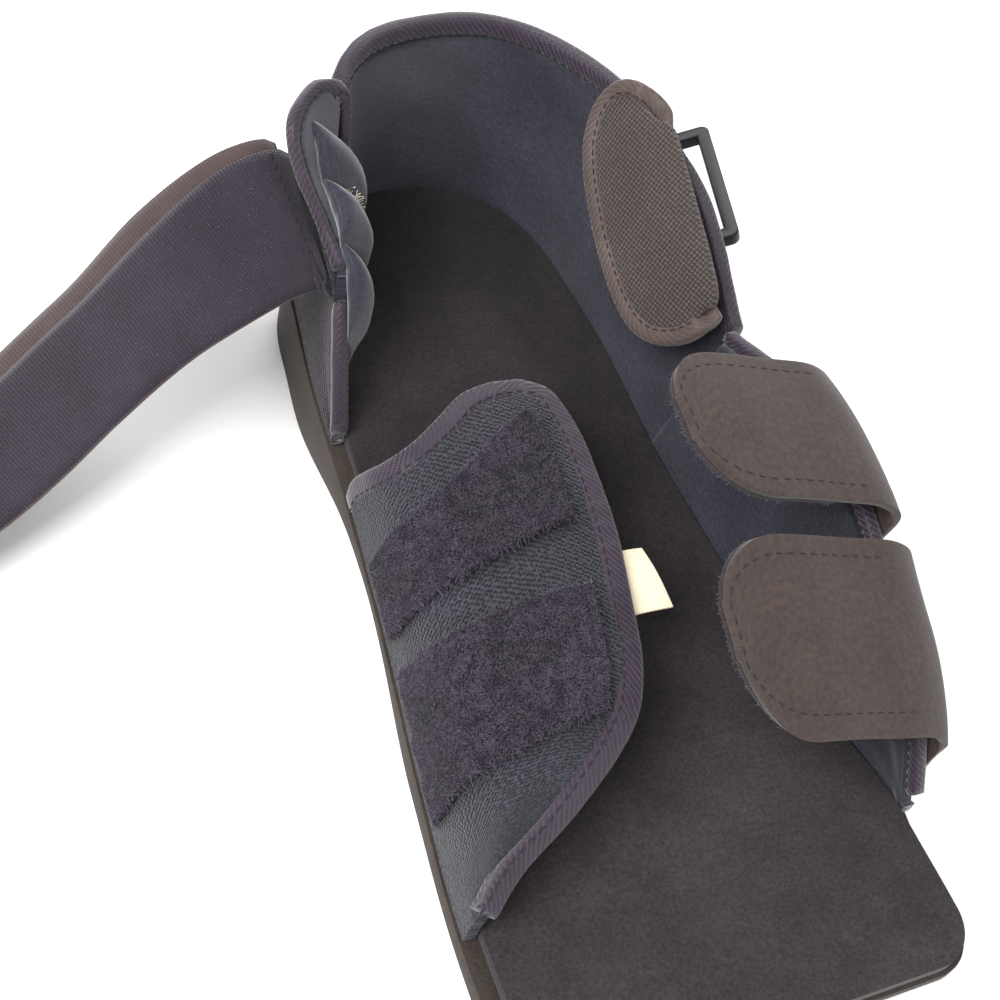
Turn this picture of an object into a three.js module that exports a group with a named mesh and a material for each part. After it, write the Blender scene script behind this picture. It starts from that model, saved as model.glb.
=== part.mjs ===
// Post operative shoe: open toe, closed heel, two forefoot straps, ankle strap with a ring.
// Millimetres, +Z up, toe towards -Y, heel towards +Y. Shapes are written with y measured from
// the middle of the insole; the group then puts the origin under the middle of the heel.

import * as THREE from 'three';

// Overall sizes
const insoleLength = 260;
const forefootWidth = 118;
const bedHeelHeight = 28;
const bedBallHeight = 9.5;
const footbedThickness = 4;
const soleLedge = 4.5;
const toeLip = 1;
const toeCornerRadius = 12;
const heelRoundLength = 40;
const heelSquareness = 2.3;
const clearance = 0.3;
const footGap = 1;

// Underside of the sole
const heelBlockFront = 78;
const heelRestCentre = 106;
const archRise = 9;
const archRear = 18;
const archFront = 12;
const ballRear = -48;
const toeSpring = 3.5;
const toeSpringStart = -95;

// Upper
const wallThickness = 3;
const collarHeight = 88;
const collarBandHeight = 6;
const collarBandThickness = 4.6;
const wrapLeftFront = 46;
const wrapRightFront = 30;
const wrapLean = 12;
const tabReach = 14;
const tabThickness = 2.4;
const tabBindingWidth = 5;
const tabBindingThickness = 3.4;
// At its rear and at its front: thickness, length, lean in degrees and rise of the buckled lining
const liningPuff = { height: [10, 6], length: [19, 12], tilt: [36, 8], rise: [6.5, -1.5], gap: [4.7, 1.4] };

// Right ankle tab: a rounded pad in a plane of its own, seated inside the wrap
const ovalLength = 78;
const ovalWidth = 37;
const ovalThickness = 4.5;
const ovalBindingWidth = 5;
const ovalTurnedThickness = 2.6;
const ovalSeat = { at: 0.8425, height: 0.8409, out: -11.25 };
const ovalAlong = new THREE.Vector3(0.05, 0.9, 0.4).normalize();
const ovalFacing = new THREE.Vector3(-0.853, -0.18, 0.489);

// Ring and its keeper
const ringLength = 46;
const ringWidth = 20;
const ringBar = 3.8;
const ringCorner = 2.5;
const ringSeat = { at: 0.773, height: 0.659, out: 13.7 };
const ringAlong = new THREE.Vector3(-0.26, -0.966, 0).normalize();
const ringRaise = 28;
const keeperWidth = 26;
const keeperThickness = 1.6;
const keeperLength = 26;

// Forefoot flap
const flapRear = 40;
const flapFront = -90;
const flapReach = 55;
const flapHeight = 43;
const flapThickness = 3;
const flapBindingWidth = 7;
const flapBindingThickness = 4;
const patchThickness = 1.8;

// Right side wall and its two straps
const sidePanelFront = -90;
const sidePanelHeight = 66;
const sideFlare = 12;
const sideBindingHeight = 4;
const strapThickness = 2;
const hookThickness = 1.2;
const rearStrapReach = 57;
const frontStrapReach = 63;
const forefootStrapRoot = 20;
const rearStrapRear = 2;
const rearStrapWidth = 39;
const frontStrapRear = -46;
const frontStrapWidth = 38;
const strapTipLength = 20;

// Ankle strap, folded back on itself
const ankleStrapWidth = 38;
const ankleStrapThickness = 1.8;
const ankleStrapReach = 136;
const ankleStrapLayerGap = 1.5;
const ankleStrapShift = 10;

// Label under the flap's free edge
const labelLength = 18;
const labelWidth = 20;
const labelThickness = 0.8;

const forefootHalf = forefootWidth / 2;
const vector = (x, y, z) => new THREE.Vector3(x, y, z);
const { clamp, lerp, smoothstep, degToRad } = THREE.MathUtils;

// Insole outline: at is the share of the length from the toe, widths are shares of the forefoot half
const outline = [
  { at: 0, right: 1.0, left: 0.98, ledge: 0.25 },
  { at: 0.1, right: 1.01, left: 0.98, ledge: 0.25 },
  { at: 0.18, right: 1.0, left: 0.965, ledge: 1 },
  { at: 0.31, right: 0.86, left: 0.905, ledge: 1 },
  { at: 0.46, right: 0.765, left: 0.83, ledge: 1 },
  { at: 0.61, right: 0.68, left: 0.785, ledge: 1 },
  { at: 0.75, right: 0.64, left: 0.765, ledge: 1 },
  { at: 0.875, right: 0.58, left: 0.7, ledge: 1 },
  { at: 1, right: 0.56, left: 0.66, ledge: 1 },
];

// Footbed height: 0 at the ball of the foot, 1 at the back of the heel
const bedProfile = [
  { at: 0, height: 0.08 },
  { at: 0.2, height: 0 },
  { at: 0.4, height: 0.13 },
  { at: 0.58, height: 0.45 },
  { at: 0.76, height: 0.83 },
  { at: 1, height: 1 },
];

// Heel wrap, at runs from the left front round the heel to the right front
const wrapProfile = [
  { at: 0, height: 0.31, lean: 0 },
  { at: 0.04, height: 0.47, lean: -0.07 },
  { at: 0.09, height: 0.63, lean: -0.17 },
  { at: 0.15, height: 0.7, lean: -0.23 },
  { at: 0.22, height: 0.77, lean: -0.27 },
  { at: 0.27, height: 0.92, lean: -0.23 },
  { at: 0.33, height: 0.985, lean: -0.13 },
  { at: 0.46, height: 1, lean: 0 },
  { at: 0.62, height: 0.985, lean: 0.38 },
  { at: 0.75, height: 0.975, lean: 0.75 },
  { at: 0.87, height: 0.91, lean: 0.92 },
  { at: 1, height: 0.705, lean: 0.92 },
];
const wrapColumns = 60;
const tabColumnStart = 6;
const tabColumnEnd = 16;

// Free edge of the left ankle tab, front to rear, as shares of its reach
const tabEdge = [
  { at: 0, out: 0.14, forward: 0.08, rise: 0.24 },
  { at: 0.3, out: 0.5, forward: 0.15, rise: 0.5 },
  { at: 0.55, out: 0.88, forward: 0.24, rise: 0.93 },
  { at: 0.8, out: 1.07, forward: 0.36, rise: 1.22 },
  { at: 1, out: 0.6, forward: 0.33, rise: 0.76 },
];

// Flap from rear to front: reach to the right and height of its top, as shares
const flapProfile = [
  { at: 0, reach: 0.82, height: 0.98 },
  { at: 0.03, reach: 0.93, height: 0.99 },
  { at: 0.08, reach: 0.98, height: 1 },
  { at: 0.31, reach: 1, height: 1 },
  { at: 0.54, reach: 0.945, height: 0.98 },
  { at: 0.715, reach: 0.87, height: 0.94 },
  { at: 0.785, reach: 0.78, height: 0.9 },
  { at: 0.846, reach: 0.62, height: 0.83 },
  { at: 0.9, reach: 0.42, height: 0.72 },
  { at: 0.946, reach: 0.21, height: 0.58 },
  { at: 1, reach: 0.05, height: 0.44 },
];

// How far the flap's rear edge is cut back, from the seam to the free edge, in millimetres
const flapCut = [
  { at: 0, back: 8.5 },
  { at: 0.1, back: 8.8 },
  { at: 0.18, back: 11 },
  { at: 0.3, back: 14.2 },
  { at: 0.42, back: 14 },
  { at: 0.55, back: 9 },
  { at: 0.7, back: 2.7 },
  { at: 0.85, back: 0.2 },
  { at: 1, back: 0 },
];

// Cross-section of the flap, from the seam at the sole to the free edge
const flapSection = [
  { at: 0, across: 0, up: 0 },
  { at: 0.14, across: 0.02, up: 0.35 },
  { at: 0.27, across: 0.08, up: 0.66 },
  { at: 0.4, across: 0.2, up: 0.87 },
  { at: 0.55, across: 0.41, up: 0.97 },
  { at: 0.78, across: 0.71, up: 1 },
  { at: 1, across: 1, up: 0.97 },
];

// Loop patches on the flap: y of the two long edges at the seam and at the free side
const patches = {
  loop_patch_rear: { seamRear: 10, seamFront: -13, freeRear: 27, freeFront: -8 },
  loop_patch_front: { seamRear: -24, seamFront: -64, freeRear: -27, freeFront: -58 },
};
const patchSpan = { from: 0.1, to: 0.83 };

// Top edge of the right side wall, rear to front
const sideProfile = [
  { at: 0, height: 0.94, flare: 0.67 },
  { at: 0.2, height: 1, flare: 0.95 },
  { at: 0.5, height: 0.93, flare: 0.75 },
  { at: 0.75, height: 0.72, flare: 0.3 },
  { at: 0.9, height: 0.5, flare: 0.08 },
  { at: 1, height: 0.25, flare: 0 },
];

// Run of a forefoot strap over the wall, as shares of its reach
const strapRun = [
  { out: 0, up: -1 },
  { out: 0, up: -0.3 },
  { out: 0, up: 0.07 },
  { out: -0.12, up: 0.18 },
  { out: -0.38, up: 0.26 },
  { out: -0.7, up: 0.34 },
  { out: -1, up: 0.4 },
];

// Ankle strap: directions of its successive stretches from the tab outwards
const ankleRun = [
  { length: 0.082, x: -0.96, y: -0.25, z: 0.02 },
  { length: 0.18, x: -0.87, y: -0.21, z: -0.445 },
  { length: 0.228, x: -0.78, y: -0.24, z: -0.58 },
  { length: 0.235, x: -0.8, y: -0.33, z: -0.5 },
  { length: 0.275, x: -0.88, y: -0.4, z: -0.22 },
];
const ankleAcrossRoot = vector(0.14, -0.855, -0.499);
const ankleAcrossEnd = vector(0.21, -0.96, 0.125);
const ankleTwist = 0.5;
const ankleSeat = { at: 0.1615, height: 0.7386, out: 9.64 };
const ankleTuck = vector(5.2, 1.2, -8.2);

// Outline of the right ankle tab, clockwise from its inner side, as shares of its half width and half length
const ovalOutline = [
  [0.94, -0.1], [0.925, 0.18], [0.86, 0.46], [0.7, 0.69], [0.42, 0.86], [0.09, 0.935], [-0.23, 0.91],
  [-0.51, 0.78], [-0.7, 0.53], [-0.755, 0.2], [-0.785, -0.2], [-0.8, -0.52], [-0.765, -0.77], [-0.57, -0.94],
  [-0.15, -1], [0.31, -0.95], [0.6, -0.84], [0.79, -0.67], [0.9, -0.42],
];
// Where the pad turns its edge and its binding under, as shares of the half width
const ovalTurn = { bindingFrom: 0.42, bindingTo: 0.65, padFrom: 0.65, padTo: 0.74 };

// Smooth curve through one column of a table whose rows are placed by at
function column(table, key) {
  const places = table.map((row) => row.at);
  const curve = new THREE.CubicInterpolant(places, table.map((row) => row[key]), 1);
  return (at) => curve.evaluate(clamp(at, 0, 1))[0];
}

const shareRight = column(outline, 'right');
const shareLeft = column(outline, 'left');
const shareLedge = column(outline, 'ledge');
const shareBed = column(bedProfile, 'height');

const lengthShare = (y) => y / insoleLength + 0.5;

// Narrowing of the outline at the round heel and at the toe corners, for an outline grown by a margin
function endFactor(y, grown) {
  const reach = (y - insoleLength / 2 - grown + heelRoundLength) / heelRoundLength;
  if (reach <= 0) return 1;
  return Math.max(0.22, (1 - Math.min(reach, 1) ** heelSquareness) ** (1 / heelSquareness));
}

function toeCut(y, grown) {
  const into = toeCornerRadius - (y + insoleLength / 2 + grown);
  if (into <= 0) return 0;
  return toeCornerRadius - Math.sqrt(Math.max(0, toeCornerRadius ** 2 - into ** 2));
}

const rightEdge = (y) => shareRight(lengthShare(y)) * forefootHalf * endFactor(y, 0) - toeCut(y, 0);
const leftEdge = (y) => shareLeft(lengthShare(y)) * forefootHalf * endFactor(y, 0) - toeCut(y, 0);
const bedHeight = (y) => lerp(bedBallHeight, bedHeelHeight, shareBed(lengthShare(y)));
const seamHeight = (y) => bedHeight(y) - footbedThickness;

// Height of the sole's underside above the floor
function undersideHeight(y) {
  const arch = smoothstep(y, ballRear, archFront) * (1 - smoothstep(y, archRear, heelBlockFront));
  const spring = Math.max(0, (toeSpringStart - y) / (insoleLength / 2 + toeSpringStart));
  return archRise * arch + toeSpring * spring ** 2;
}

// Closed solid from points and triangles, its faces turned outwards
function solid(points, triangles) {
  let volume = 0;
  for (let i = 0; i < triangles.length; i += 3) {
    const [a, b, c] = [0, 1, 2].map((k) => points[triangles[i + k]]);
    volume += a.dot(b.clone().cross(c));
  }
  if (volume < 0) triangles.reverse();
  const geometry = new THREE.BufferGeometry().setFromPoints(points);
  geometry.setIndex(triangles);
  geometry.computeVertexNormals();
  return geometry;
}

// Closed solid between two faces given as functions of two shares
function shell(rows, columns, outer, inner) {
  const points = [];
  for (const face of [outer, inner]) {
    for (let i = 0; i <= rows; i++) {
      for (let j = 0; j <= columns; j++) points.push(face(i / rows, j / columns));
    }
  }
  const across = columns + 1;
  const back = (rows + 1) * across;
  const triangles = [];
  const quad = (a, b, c, d) => triangles.push(a, b, c, a, c, d);
  for (let i = 0; i < rows; i++) {
    for (let j = 0; j < columns; j++) {
      const a = i * across + j;
      quad(a, a + 1, a + 1 + across, a + across);
      quad(back + a, back + a + across, back + a + across + 1, back + a + 1);
    }
  }
  const rim = [];
  for (let j = 0; j < columns; j++) rim.push(j);
  for (let i = 0; i < rows; i++) rim.push(i * across + columns);
  for (let j = columns; j > 0; j--) rim.push(rows * across + j);
  for (let i = rows; i > 0; i--) rim.push(i * across);
  rim.forEach((p, i) => {
    const q = rim[(i + 1) % rim.length];
    quad(q, p, back + p, back + q);
  });
  return solid(points, triangles);
}

function normalAt(surface, u, v) {
  const step = 1e-3;
  const du = surface(Math.min(u + step, 1), v).sub(surface(Math.max(u - step, 0), v));
  const dv = surface(u, Math.min(v + step, 1)).sub(surface(u, Math.max(v - step, 0)));
  return du.cross(dv).normalize();
}

const offsetFrom = (surface, distance) => (u, v) =>
  surface(u, v).addScaledVector(normalAt(surface, u, v), distance);

// Sheet of one thickness whose middle is the given surface
function sheet(rows, columns, middle, thickness) {
  return shell(rows, columns, offsetFrom(middle, thickness / 2), offsetFrom(middle, -thickness / 2));
}

// Solid swept through sections, each a closed ring of points
function sweep(sections, closed) {
  const count = sections[0].length;
  const points = sections.flat();
  const triangles = [];
  const last = closed ? sections.length : sections.length - 1;
  for (let i = 0; i < last; i++) {
    const here = i * count;
    const next = ((i + 1) % sections.length) * count;
    for (let j = 0; j < count; j++) {
      const k = (j + 1) % count;
      triangles.push(here + j, here + k, next + k, here + j, next + k, next + j);
    }
  }
  if (!closed) {
    const end = (sections.length - 1) * count;
    for (let j = 1; j < count - 1; j++) {
      triangles.push(0, j + 1, j);
      triangles.push(end, end + j, end + j + 1);
    }
  }
  return solid(points, triangles);
}

// Rounded flat section of a band: eight points round a centre
function bandSection(centre, across, normal, width, thickness) {
  const soft = 0.5;
  const corners = [[1, soft], [soft, 1], [-soft, 1], [-1, soft], [-1, -soft], [-soft, -1], [soft, -1], [1, -soft]];
  const edge = Math.max(width / 2 - thickness / 2, 0);
  return corners.map(([a, n]) => {
    const side = Math.sign(a) * (edge + Math.abs(a) * (width / 2 - edge));
    return centre.clone().addScaledVector(across, side).addScaledVector(normal, (n * thickness) / 2);
  });
}

// Band that borders a sheet: border(p) gives the edge, inward and normal there
function borderBand(steps, border, width, thickness) {
  const sections = [];
  for (let i = 0; i <= steps; i++) {
    const { edge, inward, normal } = border(i / steps);
    sections.push(bandSection(edge.addScaledVector(inward, width / 2), inward, normal, width, thickness));
  }
  return sweep(sections, false);
}

// Slab that follows the insole outline, grown sideways and at its ends
function slab(rows, columns, side, endGrowth, top, bottom) {
  const place = (u, v) => {
    const y = (-0.5 * insoleLength - endGrowth.toe) * (0.5 + 0.5 * Math.cos(Math.PI * u))
      + (0.5 * insoleLength + endGrowth.heel) * (0.5 - 0.5 * Math.cos(Math.PI * u));
    const { left, right } = side(y);
    return vector(lerp(-left, right, v), y, 0);
  };
  const face = (height) => (u, v) => {
    const point = place(u, v);
    return point.setZ(height(point.y));
  };
  return shell(rows, columns, face(top), face(bottom));
}

function outsole() {
  const side = (y) => {
    const ledge = soleLedge * shareLedge(lengthShare(y));
    const right = shareRight(lengthShare(y)) * forefootHalf + ledge;
    const left = shareLeft(lengthShare(y)) * forefootHalf + soleLedge;
    const factor = endFactor(y, soleLedge);
    return { left: left * factor - toeCut(y, toeLip), right: right * factor - toeCut(y, toeLip) };
  };
  return slab(40, 6, side, { toe: toeLip, heel: soleLedge }, seamHeight, undersideHeight);
}

function footbed() {
  const side = (y) => ({ left: leftEdge(y), right: rightEdge(y) });
  return slab(30, 4, side, { toe: 0, heel: 0 }, bedHeight, (y) => seamHeight(y) + clearance);
}

// Line of the heel wrap's foot, just outside the insole
function wrapFootCurve() {
  const steps = 14;
  const heel = insoleLength / 2;
  const points = [];
  for (let i = 0; i < steps; i++) {
    const y = lerp(wrapLeftFront, heel, Math.sin((i / steps) * Math.PI / 2));
    points.push(vector(-leftEdge(y), y, 0));
  }
  points.push(vector(0, heel, 0));
  for (let i = steps - 1; i >= 0; i--) {
    const y = lerp(wrapRightFront, heel, Math.sin((i / steps) * Math.PI / 2));
    points.push(vector(rightEdge(y), y, 0));
  }
  return new THREE.CatmullRomCurve3(points, false, 'centripetal');
}

const wrapFoot = wrapFootCurve();
const wrapHeight = column(wrapProfile, 'height');
const wrapLeanShare = column(wrapProfile, 'lean');

function wrapOutward(at) {
  const tangent = wrapFoot.getTangentAt(at);
  return vector(-tangent.y, tangent.x, 0).normalize();
}

// Point on the middle of the heel wrap at a share of its run and a height
function wrapPoint(at, height) {
  const foot = wrapFoot.getPointAt(at);
  const base = seamHeight(foot.y) + footGap;
  const top = wrapHeight(at) * collarHeight;
  const share = (height - base) / (top - base);
  const out = footGap + wallThickness / 2 + wrapLean * wrapLeanShare(at) * share;
  return foot.addScaledVector(wrapOutward(at), out).setZ(height);
}

// Place set out from the middle of the wrap, its height a share of the collar's
function seatOnWrap({ at, height, out }) {
  return wrapPoint(at, height * collarHeight).addScaledVector(wrapOutward(at), out);
}

const ovalCentre = seatOnWrap(ovalSeat);
const ringPivot = seatOnWrap(ringSeat);
const ankleRoot = seatOnWrap(ankleSeat);

const wrapBase = (at) => seamHeight(wrapFoot.getPointAt(at).y) + footGap;
const wrapTop = (at) => wrapHeight(at) * collarHeight;

function heelWrap() {
  const middle = (u, v) => {
    const place = Math.round(u * wrapColumns);
    const inTab = place >= tabColumnStart && place <= tabColumnEnd;
    const top = wrapTop(u) - (inTab ? 0 : collarBandHeight + clearance);
    return wrapPoint(u, lerp(wrapBase(u), top, v));
  };
  const face = (offset) => (u, v) => middle(u, v).addScaledVector(wrapOutward(u), offset);
  return shell(wrapColumns, 3, face(wallThickness / 2), face(-wallThickness / 2));
}

function wrapEdgeBand(fromColumn, toColumn) {
  const border = (p) => {
    const at = lerp(fromColumn, toColumn, p) / wrapColumns;
    return { edge: wrapPoint(at, wrapTop(at)), inward: vector(0, 0, -1), normal: wrapOutward(at) };
  };
  return borderBand(toColumn - fromColumn, border, collarBandHeight, collarBandThickness);
}

// Left ankle tab, standing outwards from the wrap's top edge
const tabColumns = { out: column(tabEdge, 'out'), forward: column(tabEdge, 'forward'), rise: column(tabEdge, 'rise') };

function tabSurface(u, v) {
  const at = lerp(tabColumnStart + 0.3, tabColumnEnd - 0.3, u) / wrapColumns;
  const root = wrapPoint(at, wrapTop(at));
  root.z += clearance + wallThickness * 0.2;
  const bend = v ** 1.4;
  return root.add(vector(
    -tabReach * tabColumns.out(u) * bend,
    -tabReach * tabColumns.forward(u) * v,
    tabReach * tabColumns.rise(u) * v,
  ));
}

function leftTab() {
  const body = (u, v) => {
    const free = tabSurface(u, 1).distanceTo(tabSurface(u, 0));
    return tabSurface(u, v * Math.max(0.05, 1 - (tabBindingWidth + 3 * clearance) / free));
  };
  return sheet(10, 3, (u, v) => body(lerp(0.02, 0.98, u), v), tabThickness);
}

function leftTabBinding() {
  const border = (u) => {
    const inward = tabSurface(u, 0).sub(tabSurface(u, 1)).normalize();
    return { edge: tabSurface(u, 1), inward, normal: normalAt(tabSurface, u, 1) };
  };
  const shortest = tabSurface(0, 1).distanceTo(tabSurface(0, 0));
  const width = Math.min(tabBindingWidth, shortest - clearance);
  return borderBand(12, border, width, tabBindingThickness);
}

// Buckled lining on the inside of the left tab: three full puffs in one run
function leftTabLining() {
  const puffs = 3;
  const sections = [];
  const steps = 24;
  for (let i = 0; i <= steps; i++) {
    const run = i / steps;
    const at = lerp(tabColumnEnd - 0.9, tabColumnStart - 2, run) / wrapColumns;
    const puff = (0.3 + 0.7 * Math.abs(Math.sin(Math.PI * puffs * run ** 0.92)) ** 0.7)
      * (1 - 0.55 * smoothstep(run, 0.9, 1));
    const outward = wrapOutward(at);
    const tilt = lerp(liningPuff.tilt[0], liningPuff.tilt[1], run) * (Math.PI / 180);
    const axis = outward.clone().multiplyScalar(Math.sin(tilt)).add(vector(0, 0, Math.cos(tilt)));
    const square = outward.clone().multiplyScalar(-Math.cos(tilt)).add(vector(0, 0, Math.sin(tilt)));
    const half = (lerp(liningPuff.length[0], liningPuff.length[1], run) / 2) * (0.72 + 0.28 * puff);
    const thick = (lerp(liningPuff.height[0], liningPuff.height[1], run) / 2) * puff;
    const centre = wrapPoint(at, wrapTop(at) - collarBandHeight * 0.5)
      .addScaledVector(axis, lerp(liningPuff.rise[0], liningPuff.rise[1], run))
      .addScaledVector(square, thick + wallThickness / 2 + lerp(liningPuff.gap[0], liningPuff.gap[1], run));
    const ring = [];
    for (let k = 0; k < 8; k++) {
      const angle = (k / 8) * Math.PI * 2;
      ring.push(centre.clone()
        .addScaledVector(axis, Math.cos(angle) * half)
        .addScaledVector(square, Math.sin(angle) * thick));
    }
    sections.push(ring);
  }
  return sweep(sections, false);
}

// Right ankle tab: rounded pad in its own plane, its outer edge turned under
const ovalFace = ovalFacing.clone().normalize();
const ovalAcross = ovalFace.clone().cross(ovalAlong).normalize();
const ovalUpward = ovalAcross.clone().cross(ovalFace).normalize();
const ovalCurve = new THREE.CatmullRomCurve3(ovalOutline.map(([across, along]) => ovalCentre.clone()
  .addScaledVector(ovalAcross, (across * ovalWidth) / 2)
  .addScaledVector(ovalUpward, (along * ovalLength) / 2)), true, 'centripetal');

// Edge of the pad at a share of its run, with the way in and how far it is turned under
function ovalRim(share) {
  const edge = ovalCurve.getPointAt(share);
  const inward = ovalCurve.getTangentAt(share).cross(ovalFace).normalize();
  if (inward.dot(ovalCentre.clone().sub(edge)) < 0) inward.negate();
  const side = -edge.clone().sub(ovalCentre).dot(ovalAcross) / (ovalWidth / 2);
  return {
    edge,
    inward,
    binding: smoothstep(side, ovalTurn.bindingFrom, ovalTurn.bindingTo),
    pad: smoothstep(side, ovalTurn.padFrom, ovalTurn.padTo),
  };
}

function rightTabPanel() {
  const steps = 48;
  const rings = [{ front: 0.3, back: 0.25, shrink: 0 }, { front: 0.5, back: 0.36, shrink: 0.35 }];
  const middle = { front: 0.55, back: 0.38 };
  const points = [];
  const triangles = [];
  for (const side of ['front', 'back']) {
    const sign = side === 'front' ? 1 : -1;
    for (const row of rings) {
      for (let i = 0; i < steps; i++) {
        const { edge, inward, pad } = ovalRim(i / steps);
        const inset = lerp(ovalBindingWidth + clearance, clearance, pad);
        const point = edge.addScaledVector(inward, inset).lerp(ovalCentre, row.shrink);
        points.push(point.addScaledVector(ovalFace, sign * row[side] * ovalThickness));
      }
    }
    points.push(ovalCentre.clone().addScaledVector(ovalFace, sign * middle[side] * ovalThickness));
  }
  const back = 2 * steps + 1;
  for (let i = 0; i < steps; i++) {
    const k = (i + 1) % steps;
    const quad = (a, b, c, d) => triangles.push(a, b, c, a, c, d);
    quad(i, k, steps + k, steps + i);
    quad(back + k, back + i, back + steps + i, back + steps + k);
    quad(back + i, back + k, k, i);
    triangles.push(steps + i, steps + k, 2 * steps);
    triangles.push(back + steps + k, back + steps + i, back + 2 * steps);
  }
  return solid(points, triangles);
}

function rightTabBinding() {
  const steps = 48;
  const sections = [];
  const depth = 0.36 * ovalThickness + clearance + ovalTurnedThickness / 2;
  for (let i = 0; i < steps; i++) {
    const { edge, inward, binding, pad } = ovalRim(i / steps);
    const inset = lerp(ovalBindingWidth / 2, ovalBindingWidth, pad);
    const middle = edge.addScaledVector(inward, inset).addScaledVector(ovalFace, -depth * binding);
    const thickness = lerp(ovalThickness, ovalTurnedThickness, binding);
    sections.push(bandSection(middle, inward, ovalFace, ovalBindingWidth, thickness));
  }
  return sweep(sections, true);
}

// Rectangular ring, its pivot bar held in the keeper
function ringShape() {
  const half = ringLength / 2;
  const shape = new THREE.Shape();
  const near = -ringBar / 2;
  const far = ringWidth - ringBar / 2;
  shape.moveTo(-half + ringCorner, near);
  shape.lineTo(half - ringCorner, near);
  shape.absarc(half - ringCorner, near + ringCorner, ringCorner, -Math.PI / 2, 0);
  shape.lineTo(half, far - ringCorner);
  shape.absarc(half - ringCorner, far - ringCorner, ringCorner, 0, Math.PI / 2);
  shape.lineTo(-half + ringCorner, far);
  shape.absarc(-half + ringCorner, far - ringCorner, ringCorner, Math.PI / 2, Math.PI);
  shape.lineTo(-half, near + ringCorner);
  shape.absarc(-half + ringCorner, near + ringCorner, ringCorner, Math.PI, Math.PI * 1.5);
  const slot = new THREE.Path();
  slot.moveTo(-half + ringBar, near + ringBar);
  slot.lineTo(-half + ringBar, far - ringBar);
  slot.lineTo(half - ringBar, far - ringBar);
  slot.lineTo(half - ringBar, near + ringBar);
  slot.closePath();
  shape.holes.push(slot);
  return shape;
}

const ringUp = vector(0.966, -0.26, 0).multiplyScalar(Math.cos(degToRad(ringRaise)))
  .add(vector(0, 0, Math.sin(degToRad(ringRaise)))).normalize();
const ringNormal = ringAlong.clone().cross(ringUp).normalize();

function ring() {
  const geometry = new THREE.ExtrudeGeometry(ringShape(), { depth: ringBar, bevelEnabled: false, curveSegments: 4 });
  geometry.translate(0, 0, -ringBar / 2);
  const place = new THREE.Matrix4().makeBasis(ringAlong, ringUp, ringNormal);
  place.setPosition(ringPivot);
  return geometry.applyMatrix4(place);
}

// Webbing keeper: a strip folded round the ring's pivot bar, its two tails against the wall
function ringKeeper() {
  const turn = ringBar * 0.75 + clearance + keeperThickness / 2;
  const down = vector(-0.32, 0.02, -0.94).normalize();
  const out = ringAlong.clone().cross(down).normalize();
  const path = [];
  const tailSteps = 5;
  for (let i = 0; i <= tailSteps; i++) {
    const share = 1 - i / tailSteps;
    const squeeze = 1 - 0.62 * smoothstep(share, 0.05, 0.4);
    path.push({ along: share * keeperLength, side: -turn * squeeze });
  }
  const arcSteps = 8;
  for (let i = 1; i < arcSteps; i++) {
    const angle = Math.PI * (i / arcSteps);
    path.push({ along: -turn * Math.sin(angle), side: -turn * Math.cos(angle) });
  }
  for (let i = 0; i <= tailSteps; i++) {
    const share = i / tailSteps;
    const squeeze = 1 - 0.62 * smoothstep(share, 0.05, 0.4);
    path.push({ along: share * keeperLength, side: turn * squeeze });
  }
  const points = path.map(({ along, side }) => ringPivot.clone().addScaledVector(down, along).addScaledVector(out, side));
  const sections = points.map((point, i) => {
    const tangent = points[Math.min(i + 1, points.length - 1)].clone().sub(points[Math.max(i - 1, 0)]).normalize();
    const normal = tangent.clone().cross(ringAlong).normalize();
    const corners = [[1, 1], [-1, 1], [-1, -1], [1, -1]];
    return corners.map(([a, n]) => point.clone()
      .addScaledVector(ringAlong, (a * keeperWidth) / 2)
      .addScaledVector(normal, (n * keeperThickness) / 2));
  });
  return sweep(sections, false);
}

// Forefoot flap
const flapWide = column(flapProfile, 'reach');
const flapHigh = column(flapProfile, 'height');
const flapCutBack = column(flapCut, 'back');
const sectionAcross = column(flapSection, 'across');
const sectionUp = column(flapSection, 'up');

// Point of the flap at a place along its free edge and a share of the way from seam to free edge
function flapPoint(place, share) {
  const at = (flapRear - place) / (flapRear - flapFront);
  const y = place - flapCutBack(share) * (1 - at) ** 2;
  const reach = flapReach * flapWide(at);
  const base = seamHeight(y) + footGap;
  const rise = flapHeight * flapHigh(at) - base;
  const x = -leftEdge(y) - footGap - flapThickness / 2 + reach * sectionAcross(share);
  return vector(x, y, base + rise * sectionUp(share));
}

function flapSpan(y) {
  const steps = 16;
  let span = 0;
  for (let i = 0; i < steps; i++) span += flapPoint(y, i / steps).distanceTo(flapPoint(y, (i + 1) / steps));
  return span;
}

// Share of the flap's span at which a line set in from its free edge runs
function flapInset(y, inset) {
  const steps = 24;
  let least = Infinity;
  for (let i = 0; i <= steps; i++) {
    const shift = inset * (-1 + (2 * i) / steps);
    const there = clamp(y + shift, flapFront, flapRear);
    least = Math.min(least, flapSpan(there) - Math.sqrt(Math.max(0, inset ** 2 - shift ** 2)));
  }
  return Math.max(0.05, least / flapSpan(y));
}

function flapPanel() {
  const inset = flapBindingWidth + 6 * clearance;
  const rear = flapRear - inset - 1.8;
  const front = flapFront + inset * 0.9;
  const limits = new Map();
  const surface = (u, v) => {
    const y = lerp(rear, front, u);
    if (!limits.has(y)) limits.set(y, flapInset(y, inset));
    return flapPoint(y, v * limits.get(y));
  };
  return sheet(22, 9, surface, flapThickness);
}

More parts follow.
